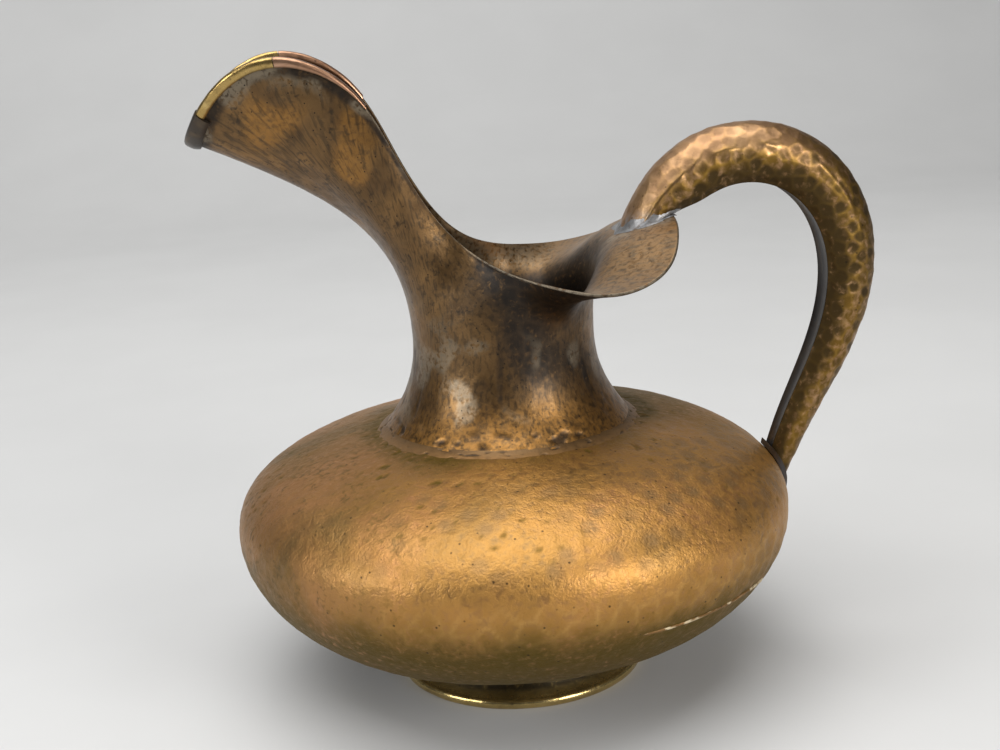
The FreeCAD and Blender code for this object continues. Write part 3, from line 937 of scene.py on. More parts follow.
@dataclass(frozen=True)
class NeckWear:
    """How the neck's outer and inner faces are planished and aged, and where shade and highlights are painted on them.

    Ramps named for a height run over the levels of the sheet, from 0 on the shoulder over 1 at the
    waist to 2 at the rim. Ramps named along run over the way from spout to handle.
    """

    hammer: HammerMarks = HammerMarks(6.0, 0.09, 23, 0.4)
    wave: Cloud = Cloud(26.0, 4.0, 0.22)
    wrap_radius: float = 40.0
    crescents: Flaw = Flaw(Cloud(5.0, 2.0), Ramp(0.18, 0.45), 2.2, 0.42, 0.85)
    crescent_belt: Belt = Belt(Ramp(0.0, 0.05), Ramp(0.42, 0.2))
    creases: Flaw = Flaw(Cloud(4.0, 9.0), Ramp(0.3, 0.6), 0.25, 0.12, 0.5)
    waist_belt: Belt = Belt(Ramp(0.2, 0.5), Ramp(1.25, 0.9))
    worked_belt: Belt = Belt(Ramp(0.0, 0.04), Ramp(2.0, 1.93))
    spout_along: Ramp = Ramp(-25, -55)
    spout_above: Ramp = Ramp(1.2, 1.5)
    patches: Cloud = Cloud(17.0, 21.0)
    patch_edge: Ramp = Ramp(0.12, 0.38)
    patch_warm: float = 0.8
    base_below: Ramp = Ramp(0.85, 0.1)
    base_drift: Cloud = Cloud(12.0, 27.0, 0.25)
    # Painted shade on the front of the neck, under the mouth's overhang
    core: Side = Side(15.0, 32.0, Ramp(0.72, 0.95))
    core_above: Ramp = Ramp(0.5, 0.9)
    core_shade: float = 0.9
    # Painted shadow: a thin line on the spout just under the binding's roll
    shadow_above: Ramp = Ramp(1.94, 1.96)
    shadow_along: Ramp = Ramp(-20, -35)
    shadow_share: float = 0.9
    # Painted shade on the outer face under the flared mouth, towards the handle
    mouth_above: Ramp = Ramp(1.35, 1.75)
    mouth_along: Ramp = Ramp(-20, 10)
    mouth_shade: float = 0.8
    # Pale patches on the spout's lip and the waist: partly rubbed copper, partly a painted highlight, stronger on the
    # side facing the left lamp
    rubbed: Cloud = Cloud(9.0, 14.0)
    rubbed_edge: Ramp = Ramp(0.3, 0.55)
    lit_side: Side = Side(-65.0, 20.0, Ramp(0.3, 0.9))
    lit_side_gain: float = 0.4
    rubbed_lip: float = 0.6
    rubbed_waist: float = 0.35
    lit_side_waist: float = 0.15
    lip_above: Ramp = Ramp(1.9, 1.98)
    bare_above: Ramp = Ramp(1.985, 1.995)
    bare_pale: float = 0.4
    streak_stretch: float = 32.0
    # Painted shade down the throat, inside the neck
    throat_below: Ramp = Ramp(1.58, 1.25)
    throat_shade: float = 0.95
    flare_above: Ramp = Ramp(1.4, 1.7)
    flare_along: Ramp = Ramp(-35, -5)
    behind_along: Ramp = Ramp(5, 35)
    flare_front: float = 0.8
    flare_warm: float = 0.9
    flare_pale: float = 0.75
    flare_pale_lost: float = 0.45
    root_along: float = 51.0
    root_squash: float = 0.75
    root_near: Ramp = Ramp(20, 12)
    root_spots: Cloud = Cloud(5.0, 6.0)
    root_edge: Ramp = Ramp(-0.15, 0.3)
    root_pale: float = 0.7

    def outside(self, outer: Array, run: Array, levels: Array) -> tuple[Array, Marks]:
        """Planish and age the outer face, and paint shade and highlights on it.

        Args:
            outer: Grid of the true form.
            run: Way of each line of the grid round the rim.
            levels: Levels of the rows.

        Returns:
            How far each point moves along its normal, and the values for the finish.
        """
        level = np.broadcast_to(levels[None, :], outer.shape[:2])
        along, height = outer[..., 0], outer[..., 2]
        blows = self.hammer.field(outer)
        turn = np.arctan2(outer[..., 1], along)
        wrapped = np.stack([np.cos(turn) * self.wrap_radius, np.sin(turn) * self.wrap_radius, height], -1)
        crescent = self.crescents.at(wrapped) * self.crescent_belt.at(level)
        waist = self.waist_belt.at(level)
        crease = self.creases.at(wrapped) * waist
        moved = (blows.dish + self.wave.at(outer) - crescent * self.crescents.depth
                 - crease * self.creases.depth) * self.worked_belt.at(level)
        spout = self.spout_along.at(along) * self.spout_above.at(level)
        patch = self.patch_edge.at(self.patches.at(outer)) * spout
        # Stains in dents and creases, with painted shade under the overhang, the binding and the mouth
        stain = (self.core.at(outer) * self.core_above.at(level) * self.core_shade
                 + self.shadow_above.at(level) * self.shadow_along.at(along) * self.shadow_share
                 + self.mouth_above.at(level) * self.mouth_along.at(along) * self.mouth_shade
                 + crescent * self.crescents.stain + crease * self.creases.stain)
        # Pale patches: rubbed copper with a painted highlight on the side facing the left lamp
        left = self.lit_side.at(outer)
        rubbed = self.rubbed_edge.at(self.rubbed.at(outer) + self.lit_side_gain * left)
        pale = rubbed * (self.lip_above.at(level) * spout * self.rubbed_lip
                         + waist * (self.rubbed_waist + self.lit_side_waist * left))
        warm = patch * self.patch_warm + self.base_below.at(level + self.base_drift.at(outer))
        flow = np.stack([np.broadcast_to(run[:, None], level.shape), level * self.streak_stretch, level * 0], -1)
        return moved, {Mark.RIDGE: blows.ridge, Mark.STAIN: np.clip(stain, 0, 1), Mark.WARM: np.clip(warm, 0, 1),
                       Mark.PALE: np.maximum(pale, self.bare_pale * self.bare_above.at(level)),
                       Mark.FLOW: flow * MM}

    def inside(self, inner: Array, levels: Array) -> Marks:
        """Values for the finish of the inner face: painted shade down the throat, a rosy flare and solder at the root.

        Args:
            inner: Grid of the inner face.
            levels: Levels of the rows.

        Returns:
            Values for the inner face, without its flow.
        """
        level = np.broadcast_to(levels[None, :], inner.shape[:2])
        along = inner[..., 0]
        behind = self.behind_along.at(along)
        flare = self.flare_front + (1 - self.flare_front) * behind
        flare = flare * self.flare_above.at(level) * self.flare_along.at(along)
        near = np.hypot(along - self.root_along, inner[..., 1] * self.root_squash)
        solder = self.root_near.at(near) * self.root_edge.at(self.root_spots.at(inner))
        pale = np.maximum(solder * self.root_pale, flare * (self.flare_pale - self.flare_pale_lost * behind))
        return {Mark.RIDGE: level * 0, Mark.STAIN: self.throat_below.at(level) * self.throat_shade,
                Mark.WARM: flare * self.flare_warm, Mark.PALE: pale}


@dataclass
class Neck:
    """The neck, spout and mouth, raised from one sheet."""

    base_radius: float = 45.0
    base_height: float = 93.36
    waist_radius: float = 32.4
    waist_height: float = 126.0
    sheet: float = 1.2
    turns: int = 480
    flare_rows: int = 36
    wall_rows: int = 110
    rim_lap: int = 6
    wear: NeckWear = NeckWear()
    # Where the flare is pulled to, as shares of the way out and up from its base to the waist
    flare_pulls: tuple[tuple[float, float], ...] = ((0.32, 0.17), (1.0, 0.45))
    # Share of the rise that the wall climbs straight up: at the sides, and how much less under the spout
    climb: float = 0.85
    climb_change: float = 0.12
    # Rim from the spout's tip to the back: place, bearing on the waist, and how the wall bends over
    rim_rows: tuple[tuple[float, ...], ...] = (
        (-103.0, 0.0, 200.49, 0.0, 0.70, 0.31), (-94.45, 17.01, 214.50, 7.5, 0.66, 0.50),
        (-70.97, 24.51, 226.80, 16.0, 0.62, 0.90), (-49.03, 25.0, 217.22, 23.0, 0.60, 1.15),
        (-31.52, 23.52, 187.99, 35.0, 0.67, 1.10), (-14.52, 20.79, 161.99, 61.0, 0.73, 0.75),
        (-1.03, 32.0, 153.22, 88.0, 0.75, 0.55), (16.49, 46.5, 148.18, 105.0, 0.80, 0.30),
        (32.98, 54.7, 146.87, 120.0, 0.80, 0.30), (47.99, 50.0, 150.80, 133.0, 0.82, 0.28),
        (58.40, 30.69, 159.87, 152.0, 0.85, 0.27), (62.0, 0.0, 163.50, 180.0, 0.87, 0.27))

    def __post_init__(self) -> None:
        """Fit the rim's curve, carried on past one turn at both ends."""
        rows = np.array(self.rim_rows)
        rows[:, 1] *= -1
        back = rows[-2:0:-1] * np.array([1.0, -1.0, 1.0, -1.0, 1.0, 1.0]) + np.array([0, 0, 0, 360.0, 0, 0])
        table = np.vstack([rows, back])
        run = np.linalg.norm(np.diff(np.vstack([table, table[:1]])[:, :3], axis=0), axis=1)
        self.length = run.sum()
        shares = np.concatenate([[0], np.cumsum(run)[:-1]]) / self.length
        table[:, 3] -= 360 * shares
        before, after = slice(-self.rim_lap, None), slice(self.rim_lap + 1)
        wide = np.concatenate([shares[before] - 1, shares, shares[after] + 1])
        self.rim = Spline(wide, np.vstack([table[before], table, table[after]]))

    def face(self, shares: Array, levels: Array) -> Array:
        """Points of the outer face.

        Args:
            shares: Shares of the turn round the rim.
            levels: From 0 on the shoulder over 1 at the waist to 2 at the rim.

        Returns:
            Grid of points, turn first.
        """
        shares = shares % 1
        rows = self.rim.at(shares)
        bearing = np.radians(rows[:, 3] + 360 * shares)
        level = levels[None, :, None]
        low, rest = np.clip(level, None, 1), 1 - np.clip(level, None, 1)
        start = np.array([self.base_radius, self.base_height])
        end = np.array([self.waist_radius, self.waist_height])
        pulls = [start + (end - start) * np.array(share) for share in self.flare_pulls]
        flare = start * rest**3 + 3 * rest * low * (pulls[0] * rest + pulls[1] * low) + end * low**3
        out = np.stack([-np.cos(bearing), -np.sin(bearing)], -1)[:, None, :]
        lift = np.broadcast_to(flare[..., 1:], (len(shares), len(levels), 1))
        neck = np.concatenate([out * flare[..., :1], lift], -1)
        waist = np.concatenate([out[:, 0] * self.waist_radius,
                                np.full((len(shares), 1), self.waist_height)], -1)
        edge = rows[:, :3]
        rise = (edge[:, 2] - self.waist_height) * rows[:, 4]
        first, second = waist.copy(), waist + (edge - waist) * rows[:, 5:6]
        first[:, 2] += rise * (self.climb - self.climb_change * np.cos(bearing))
        second[:, 2] = self.waist_height + rise
        high, rest = np.clip(level - 1, 0, None), 1 - np.clip(level - 1, 0, None)
        wall = (waist[:, None] * rest**3 + edge[:, None] * high**3
                + 3 * rest * high * (first[:, None] * rest + second[:, None] * high))
        return np.where(level < 1, neck, wall)

    def build(self, dresser: Dresser) -> None:
        """Make the sheet.

        Args:
            dresser: Sets the piece on the part.
        """
        shares = np.arange(self.turns) / self.turns
        levels = np.concatenate([np.linspace(0, 1, self.flare_rows, endpoint=False),
                                 np.linspace(1, 2, self.wall_rows)])
        outer = self.face(shares, levels)
        normals = grid_normals(outer, True)
        moved, marks = self.wear.outside(outer, shares * self.length, levels)
        loop = sheet_loop(outer + normals * moved[..., None], normals, self.sheet, True)
        flow = marks.pop(Mark.FLOW)
        lining = self.wear.inside(outer - normals * self.sheet, levels)
        shown = {mark: loop_marks(values, lining[mark], loop.shape[1]) for mark, values in marks.items()}
        shown[Mark.FLOW] = loop_marks(flow, flow, loop.shape[1])
        piece = write_mesh("neck_raised", loop, Ends.CLOSED, Ends.CLOSED, shown)
        dresser.place(piece, NECK, "neck_and_spout")


@dataclass
class Collar:
    """The braze that eases the shoulder into the neck, dented by the hammer that closed it."""

    belly: Belly
    neck: Neck
    spread: float = 1.8
    level: float = 0.1
    foot_sunk: float = 0.3
    top_out: float = -0.15
    corner: tuple[float, float] = (0.4, 0.3)
    # How far the hidden back lies in and down from the top, the corner and the foot
    back: tuple[tuple[float, float], ...] = ((1.0, 0.4), (1.2, 0.8), (0.4, 0.8))
    rows: int = 22
    turns: int = 520
    crescents: Flaw = Flaw(Cloud(3.0, 2.0), Ramp(0.28, 0.5), 3.4, 0.3, 0.7)
    crescent_belt: Belt = Belt(Ramp(0.1, 0.35), Ramp(0.98, 0.75))
    held_top: Ramp = Ramp(1.0, 0.9)
    stain: float = 0.2
    warm: Ramp = Ramp(1.15, 0.1)

    def build(self, dresser: Dresser) -> None:
        """Make the braze.

        Args:
            dresser: Sets the piece on the part.
        """
        reach = self.belly.opening + self.spread
        foot = np.array([reach, self.belly.top_height(reach) - self.foot_sunk])
        corner = np.array([self.neck.base_radius, self.neck.base_height]) + self.corner
        upper = self.neck.face(np.array([0.0]), np.array([self.level]))[0, 0]
        top = np.array([-upper[0] + self.top_out, upper[2]])
        share = np.linspace(0, 1, self.rows)[:, None]
        curve = foot * (1 - share)**2 + 2 * corner * share * (1 - share) + top * share**2
        points = spun(np.vstack([curve, np.array([top, corner, foot]) - self.back]), self.turns)
        face = points[:, :self.rows]
        rise = np.broadcast_to(share[:, 0], face.shape[:2])
        crescent = self.crescents.at(face) * self.crescent_belt.at(rise)
        lift = self.belly.wave(face) * (1 - rise)**2 - crescent * self.crescents.depth
        face += grid_normals(face, True) * (lift * self.held_top.at(rise))[..., None]
        plain = np.zeros((self.turns, len(self.back)))
        stain = np.clip(crescent * self.crescents.stain + self.stain, 0, 1)
        marks = {Mark.STAIN: np.concatenate([stain, plain], 1),
                 Mark.WARM: np.concatenate([self.warm.at(rise), plain], 1)}
        piece = write_mesh("collar_braze", points, Ends.CLOSED, Ends.CLOSED, marks)
        dresser.place(piece, COLLAR, "neck_seam_braze")


@dataclass
class Binding:
    """The clip on the spout's tip and the lengths of binding folded over the lip behind it."""

    neck: Neck
    gap: float = 0.15
    sheet: float = 0.8
    clip_sheet: float = 1.2
    leg: float = 2.6
    tail_leg: float = 0.9
    clip_leg: float = 4.8
    # Shares of the turn round the rim where the clip, the front lengths and the rear lengths end
    clip_end: float = 0.034
    joint: float = 0.0935
    tail_end: float = 0.156
    steps: int = 61
    probe: float = 1e-3
    # Rows of the legs from their feet to the rim, and how far each bulges in sheets
    leg_rows: tuple[float, ...] = (1.0, 0.75, 0.5, 0.25, 0.0)
    bulges: tuple[float, ...] = (0.55, 1.0, 1.2, 1.15, 1.0)
    inner_bulge: float = 0.9
    crown_angles: tuple[float, ...] = (30.0, 60.0, 90.0, 120.0, 150.0)
    worn: Cloud = Cloud(5.0, 8.0, 0.12)
    foot_shade: float = 0.8

    def fold(self, name: str, ends: tuple[float, float], legs: tuple[float, float],
             sheet: float) -> bpy.types.Object:
        """Make a strip folded over a stretch of the rim.

        Args:
            name: Name of the piece.
            ends: Shares of the turn where it starts and ends.
            legs: Depth of its legs at the start and at the end.
            sheet: Its thickness.

        Returns:
            The new object.
        """
        wall_sheet, fine = self.neck.sheet, self.probe
        bulge = np.array(self.bulges)[:, None] * sheet
        sections = []
        for share, leg in zip(np.linspace(*ends, self.steps), np.linspace(*legs, self.steps)):
            near = np.array([share - fine, share, share + fine])
            rim = self.neck.face(near, np.array([2 - fine, 2.0]))[1]
            reach = np.linalg.norm(rim[1] - rim[0]) / fine
            levels = 2 - leg / reach * np.array(self.leg_rows)
            walls = [self.neck.face(near, np.array([level - fine, level])) for level in levels]
            place = np.array([wall[1, 1] for wall in walls])
            up = unit(np.array([wall[1, 1] - wall[1, 0] for wall in walls]))
            out = unit(np.cross(np.array([wall[2, 1] - wall[0, 1] for wall in walls]), up))
            outside = place + out * (self.gap + bulge)
            inside = place - out * (wall_sheet + self.gap + bulge * self.inner_bulge)
            middle = place[-1] - out[-1] * wall_sheet / 2
            half = wall_sheet / 2 + self.gap + sheet
            crown = [middle + out[-1] * half * math.cos(angle) + up[-1] * (self.gap + sheet) * math.sin(angle)
                     for angle in np.radians(self.crown_angles)]
            slot = [place[row] - out[row] * (wall_sheet + self.gap) for row in (0, -1)]
            slot += [place[row] + out[row] * self.gap for row in (-1, 0)]
            sections.append(np.vstack([outside, crown, inside[::-1], slot]))
        grid = np.array(sections)
        seen = 2 * len(self.leg_rows) + len(self.crown_angles)
        outward = unit(grid - grid.mean(1, keepdims=True))
        grid[:, :seen] += (outward * self.worn.at(grid)[..., None])[:, :seen]
        stain = np.zeros(grid.shape[:2])
        # Painted shadow along the feet of the legs, where the strip meets the wall; the hidden slot is painted fully
        # in the darkening colour
        stain[:, [0, seen - 1]] = self.foot_shade
        stain[:, seen:] = 1.0
        return write_mesh(name, grid, Ends.CAPPED, Ends.CLOSED, {Mark.STAIN: stain})

    def build(self, dresser: Dresser) -> None:
        """Make the clip and the four lengths.

        Args:
            dresser: Sets the pieces on the part.
        """
        split = self.gap / self.neck.length
        clip = self.fold("tip_clip", (-self.clip_end, self.clip_end), (self.clip_leg, self.clip_leg), self.clip_sheet)
        dresser.place(clip, CLIP, "lip_tip_clip")
        for side, sign in (("left", 1), ("right", -1)):
            front = (sign * (self.clip_end + split), sign * (self.joint - split))
            rear = (sign * (self.joint + split), sign * self.tail_end)
            strip = self.fold("binding_front_" + side, front, (self.leg, self.leg), self.sheet)
            dresser.place(strip, BRASS, "lip_binding_front_" + side)
            strip = self.fold("binding_rear_" + side, rear, (self.leg, self.tail_leg), self.sheet)
            dresser.place(strip, ROSE, "lip_binding_rear_" + side)


@dataclass
class Throat:
    """A look-up of the mouth's inner face near the handle's root, by place seen from above."""

    neck: Neck
    gap: float = 0.1
    turn: tuple[float, float] = (0.40, 0.60)
    levels: tuple[float, float] = (1.25, 2.0)
    fineness: int = 160

    def __post_init__(self) -> None:
        """Set out the face's points for the look-up."""
        outer = self.neck.face(np.linspace(*self.turn, self.fineness), np.linspace(*self.levels, self.fineness))
        inner = outer - grid_normals(outer, False) * (self.neck.sheet + self.gap)
        places = inner.reshape(-1, 3).tolist()
        self.heights = [place[2] for place in places]
        self.tree = KDTree(len(places))
        for index, place in enumerate(places):
            self.tree.insert((place[0], place[1], 0.0), index)
        self.tree.balance()

    def height(self, place: Array, reach: float) -> float:
        """Find the face above or below a place.

        Args:
            place: The place.
            reach: How far off, seen from above, the face may be.

        Returns:
            The face's height, or minus infinity where it is out of reach.
        """
        _, found, far = self.tree.find((place[0], place[1], 0.0))
        return self.heights[found] if far < reach else -math.inf


@dataclass(frozen=True)
class HandleWear:
    """How the handle's channel is hammered and aged, with painted shade on its sides and underside.

    Ramps named for an angle run over degrees from the crown of the section. Ramps named along run over
    shares of the handle from the mouth to the belly.
    """

    hammer: HammerMarks = HammerMarks(4.7, 0.34, 37, 0.34)
    wave: Cloud = Cloud(14.0, 2.0, 0.25)
    worked_along: Belt = Belt(Ramp(0.0, 0.03), Ramp(1.0, 0.9))
    worked_angle: Ramp = Ramp(138, 130)
    crest_angle: float = 70.0
    crest_width: float = 6.5
    crest_along: Ramp = Ramp(0.62, 0.4)
    crest_breaks: Cloud = Cloud(7.0, 61.0)
    crest_edge: Ramp = Ramp(-0.35, 0.25)
    crest_height: float = 0.4
    crest_spared: float = 0.7
    top_angle: Ramp = Ramp(74, 62)
    top_along: Ramp = Ramp(0.46, 0.24)
    top_spared: float = 0.2
    top_stain: float = 0.25
    # Painted shade: the sides take the darker golden warm colour against the lit top
    side_angle: Ramp = Ramp(52, 92)
    side_along: Ramp = Ramp(0.22, 0.44)
    side_shade: float = 0.95
    hollow_edge: Ramp = Ramp(0.15, 0.9)
    spot_lot: Ramp = Ramp(0.25, 0.7)
    spot_along: Ramp = Ramp(0.7, 0.85)
    spot_lost: float = 0.7
    spot_stain: float = 0.75
    # Painted shade on the underside of the section, turned away from the ceiling lamp
    inward_angle: Ramp = Ramp(84, 114)
    inward_drift: Cloud = Cloud(9.0, 71.0, 12.0)
    inward_shade: float = 0.9
    inward_dulled: float = 0.8
    falling_along: Belt = Belt(Ramp(0.27, 0.38), Ramp(0.72, 0.52))
    falling_stain: float = 0.4
    tail_along: Ramp = Ramp(0.93, 1.0)
    tail_stain: float = 0.8
    ridge_side: float = 0.8
    ridge_top: float = 0.5
    ridge_crest: float = 0.9
    joint_along: Ramp = Ramp(0.035, 0.0)
    joint_spots: Cloud = Cloud(4.0, 17.0)
    joint_edge: Ramp = Ramp(-0.2, 0.2)
    joint_pale: float = 0.8

    def outside(self, outer: Array, turn: Array, share: Array) -> tuple[Array, Marks]:
        """Hammer and age the outer face, and paint shade on its sides and underside.

        Args:
            outer: Grid of the true form, places along the handle first.
            turn: Degrees from the crown of the section, for each column.
            share: Shares of the handle, for each row.

        Returns:
            How far each point moves along its normal, and the values for the finish.
        """
        turn, share = np.broadcast_to(turn[None, :], outer.shape[:2]), np.broadcast_to(share[:, None], outer.shape[:2])
        blows = self.hammer.field(outer)
        crest = (np.exp(-((turn - self.crest_angle) / self.crest_width)**2) * self.crest_along.at(share)
                 * self.crest_edge.at(self.crest_breaks.at(outer)))
        along, edge = self.worked_along.at(share), self.worked_angle.at(turn)
        top = self.top_angle.at(turn) * self.top_along.at(share)
        depth = along * (1 - self.top_spared * top) * (1 - self.crest_spared * crest)
        moved = blows.dish * depth * edge + crest * self.crest_height + self.wave.at(outer) * along * edge
        side = np.maximum(self.side_angle.at(turn), self.side_along.at(share))
        tail = self.tail_along.at(share)
        hollow = self.hollow_edge.at(blows.heart)
        spots = hollow * self.spot_lot.at(blows.lot) * (1 - self.spot_lost * self.spot_along.at(share))
        inward = self.inward_angle.at(turn + self.inward_drift.at(outer))
        stain = (side * spots * self.spot_stain + inward * self.inward_shade + tail * self.tail_stain
                 + top * hollow * self.top_stain + self.falling_along.at(share) * self.falling_stain)
        worn = np.clip(blows.ridge * (side * self.ridge_side + top * self.ridge_top) + crest * self.ridge_crest, 0, 1)
        joint = self.joint_along.at(share) * self.joint_edge.at(self.joint_spots.at(outer))
        return moved, {Mark.STAIN: np.clip(stain, 0, 1),
                       Mark.RIDGE: worn * (1 - tail) * (1 - self.inward_dulled * inward),
                       Mark.WARM: side * self.side_shade, Mark.PALE: joint * self.joint_pale}


@dataclass
class Handle:
    """The hammered channel of the loop handle and the smooth strip that closes it."""

    belly: Belly
    neck: Neck
    sheet: float = 1.2
    seam_gap: float = 0.25
    strip_half_angle: float = 42.0
    hollow_share: float = 0.16
    steps: int = 330
    line_points: int = 900
    arc_points: int = 111
    inner_every: int = 4
    strip_points: int = 25
    root_reach: float = 1.2
    belly_sunk: float = 0.2
    wear: HandleWear = HandleWear()
    strip_wave: Cloud = Cloud(12.0, 3.0, 0.12)
    strip_streaks: tuple[float, float] = (16.0, 12.0)
    # Middle line from the mouth to the belly: along, up, thickness, width and lean of the section
    rows: tuple[tuple[float, ...], ...] = (
        (48.9, 157.1, 20.0, 22.0, 57.0), (57.0, 168.2, 17.3, 22.0, 29.0), (66.0, 176.3, 19.5, 21.5, 4.0),
        (78.5, 182.6, 20.6, 21.0, 0.0), (102.0, 181.6, 21.2, 20.5, 0.0), (119.5, 167.6, 21.0, 19.5, 0.0),
        (127.0, 143.0, 19.2, 18.0, 0.0), (121.0, 113.5, 15.8, 15.5, 0.0), (105.5, 81.5, 11.8, 12.0, 0.0),
        (99.0, 66.0, 9.5, 11.0, 0.0), (93.5, 52.0, 7.0, 10.0, 0.0))

    def __post_init__(self) -> None:
        """Work out the middle line, the outward directions and the sizes along the handle."""
        rows = np.array(self.rows)
        run = np.concatenate([[0], np.cumsum(np.linalg.norm(np.diff(rows[:, :2], axis=0), axis=1))])
        line = Spline(run / run[-1], rows)
        places = np.linspace(0, 1, self.line_points)
        values = line.at(places)
        along = np.gradient(values[:, :2], axis=0)
        bearing = np.arctan2(along[:, 1], along[:, 0]) + np.radians(90 + values[:, 4])
        self.middle = np.stack([values[:, 0], values[:, 0] * 0, values[:, 1]], -1)
        self.outward = np.stack([np.cos(bearing), bearing * 0, np.sin(bearing)], -1)
        self.sizes = values[:, 2:4]
        self.seam = math.radians(180 - self.strip_half_angle)
        self.throat = Throat(self.neck)

    def arc(self, angles: Array, grow: float) -> Array:
        """Lines along the hammered channel.

        Args:
            angles: Angles round the section, from the crown.
            grow: How far the face is moved out.

        Returns:
            Grid of points, one line for each angle, places along the handle second.
        """
        thickness, width = self.sizes[:, :1], self.sizes[:, 1:]
        rise = thickness / (1 - math.cos(self.seam))
        center = self.middle + self.outward * (thickness / 2 - rise)
        across = np.array([0.0, 1.0, 0.0])
        return np.stack([center + self.outward * (rise + grow) * math.cos(angle)
                         + across * (width / 2 + grow) * math.sin(angle) for angle in angles], 0)

    def trimmed(self, lines: Array) -> Array:
        """Lines cut where they run into the mouth and into the belly, with their points spaced evenly.

        Args:
            lines: Grid of points, one line for each row.

        Returns:
            Grid with the same lines, each of the same number of points.
        """
        count = lines.shape[1]
        made = []
        for line in lines:
            root = line[:count // 4]
            below = [place[2] < self.throat.height(place, self.root_reach) for place in root]
            start = np.max(np.nonzero(below)[0], initial=0)
            sunk = self.belly.inside(line[count // 2:], -self.belly_sunk)
            end = count // 2 + (np.argmax(sunk) if sunk.any() else count - count // 2 - 1)
            places = np.linspace(start, end, self.steps)
            made.append(np.stack([np.interp(places, np.arange(count), line[:, axis]) for axis in range(3)], -1))
        return np.array(made)

    def build(self, dresser: Dresser) -> None:
        """Make the channel, the solder at its root and the strip, and coat the solder at the tail.

        Args:
            dresser: Sets the pieces on the part.
        """
        outer = self.channel(dresser)
        RootSolder(self.throat).build(dresser, outer)
        self.strip(dresser)
        dresser.coat("handle_tail_solder", STRIP)

    def channel(self, dresser: Dresser) -> Array:
        """Make the hammered channel.

        Args:
            dresser: Sets the piece on the part.

        Returns:
            Grid of its true outer face, places along the handle first.
        """
        angles = np.linspace(-self.seam, self.seam, self.arc_points)
        outer = self.trimmed(self.arc(angles, 0.0)).transpose(1, 0, 2)
        inner = self.trimmed(self.arc(angles[::self.inner_every], -self.sheet)).transpose(1, 0, 2)
        normals = grid_normals(outer, False)
        if (normals * (outer - outer.mean(1, keepdims=True))).sum() < 0:
            normals = -normals
        moved, marks = self.wear.outside(outer, np.degrees(np.abs(angles)), np.linspace(0, 1, self.steps))
        grid = np.concatenate([outer + normals * moved[..., None], inner[:, ::-1]], 1)
        # The inner face takes the full darkening: painted shade inside the channel
        inner_shade = np.ones(inner.shape[:2])
        shown = {mark: np.concatenate([values, inner_shade if mark is Mark.STAIN else inner_shade * 0], 1)
                 for mark, values in marks.items()}
        piece = write_mesh("handle_hammered", grid, Ends.CAPPED, Ends.CLOSED, shown)
        dresser.place(piece, HANDLE, "handle_channel")
        return outer

    def strip(self, dresser: Dresser) -> None:
        """Make the smooth strip on the handle's inner side.

        Args:
            dresser: Sets the piece on the part.
        """
        ends = np.array([-self.seam, self.seam])
        inset = np.array([0.0, self.seam_gap, 0.0])
        hollow = self.outward * self.hollow_share * self.sizes[:, 1:] / 2
        lines = []
        for grow, order in ((0.0, 1), (-self.sheet, -1)):
            left, right = self.arc(ends, grow)
            left, right = left + inset, right - inset
            for share in np.linspace(0, 1, self.strip_points)[::order]:
                lines.append(left + (right - left) * share + hollow * (1 - (2 * share - 1)**2))
        grid = self.trimmed(np.array(lines)).transpose(1, 0, 2)
        over = np.linspace(0, 1, self.strip_points)
        across = np.tile(np.concatenate([over, over[::-1]]), (self.steps, 1))
        share = np.linspace(0, 1, self.steps)[:, None] + across * 0
        flow = np.stack([across * self.strip_streaks[0], share * self.strip_streaks[1], share * 0], -1) * MM
        grid = grid + self.strip_wave.at(grid)[..., None] * UP
        piece = write_mesh("strip_smooth", grid, Ends.CAPPED, Ends.CLOSED, {Mark.FLOW: flow})
        dresser.place(piece, STRIP, "handle_strip")


@dataclass
class RootSolder:
    """The solder smeared round the handle's root in the mouth."""

    throat: Throat
    ends_bare: int = 3
    climb: float = 3.0
    climb_drift: Cloud = Cloud(5.0, 3.0, 2.6)
    spread: float = 2.2
    spread_drift: Cloud = Cloud(4.0, 8.0, 2.0)
    reach: float = 1.0
    seated: float = 0.1
    lean: float = 0.6
    upper_swell: float = 0.3
    swell: tuple[float, float] = (0.55, 0.35)
    lower_swell: float = 0.3
    back: tuple[float, float] = (0.6, 0.3)
    lumps: Cloud = Cloud(2.2, 5.0, 0.35)

    def build(self, dresser: Dresser, channel: Array) -> None:
        """Make the solder.

        Args:
            dresser: Sets the piece on the part.
            channel: Grid of the channel's outer face, places along the handle first.
        """
        lines = channel[:, self.ends_bare:-self.ends_bare]
        start = lines[0]
        run = np.linalg.norm(lines - start, axis=-1)
        climb = self.climb + self.climb_drift.at(start)
        upper = lines[np.argmax(run > climb, 0), np.arange(len(start))]
        out = unit(start - start.mean(0))
        spread = self.spread + self.spread_drift.at(start)
        lower = start + unit(out * FLAT) * spread[:, None]
        for place in lower:
            height = self.throat.height(place, self.reach)
            place[2] = place[2] if height == -math.inf else height + self.seated
        grid = np.stack([upper - out * self.seated,
                         upper * self.lean + start * (1 - self.lean) + out * self.upper_swell,
                         start + out * self.swell[0] + UP * self.swell[1],
                         lower * self.lean + start * (1 - self.lean) + UP * self.lower_swell,
                         lower - UP * self.seated, start - out * self.back[0] - UP * self.back[1]], 1)
        grid[:, 1:4] += self.lumps.at(grid[:, 1:4])[..., None] * out[:, None]
        piece = write_mesh("root_solder", grid, Ends.CAPPED, Ends.CLOSED, {})
        dresser.place(piece, SOLDER, "handle_root_solder")


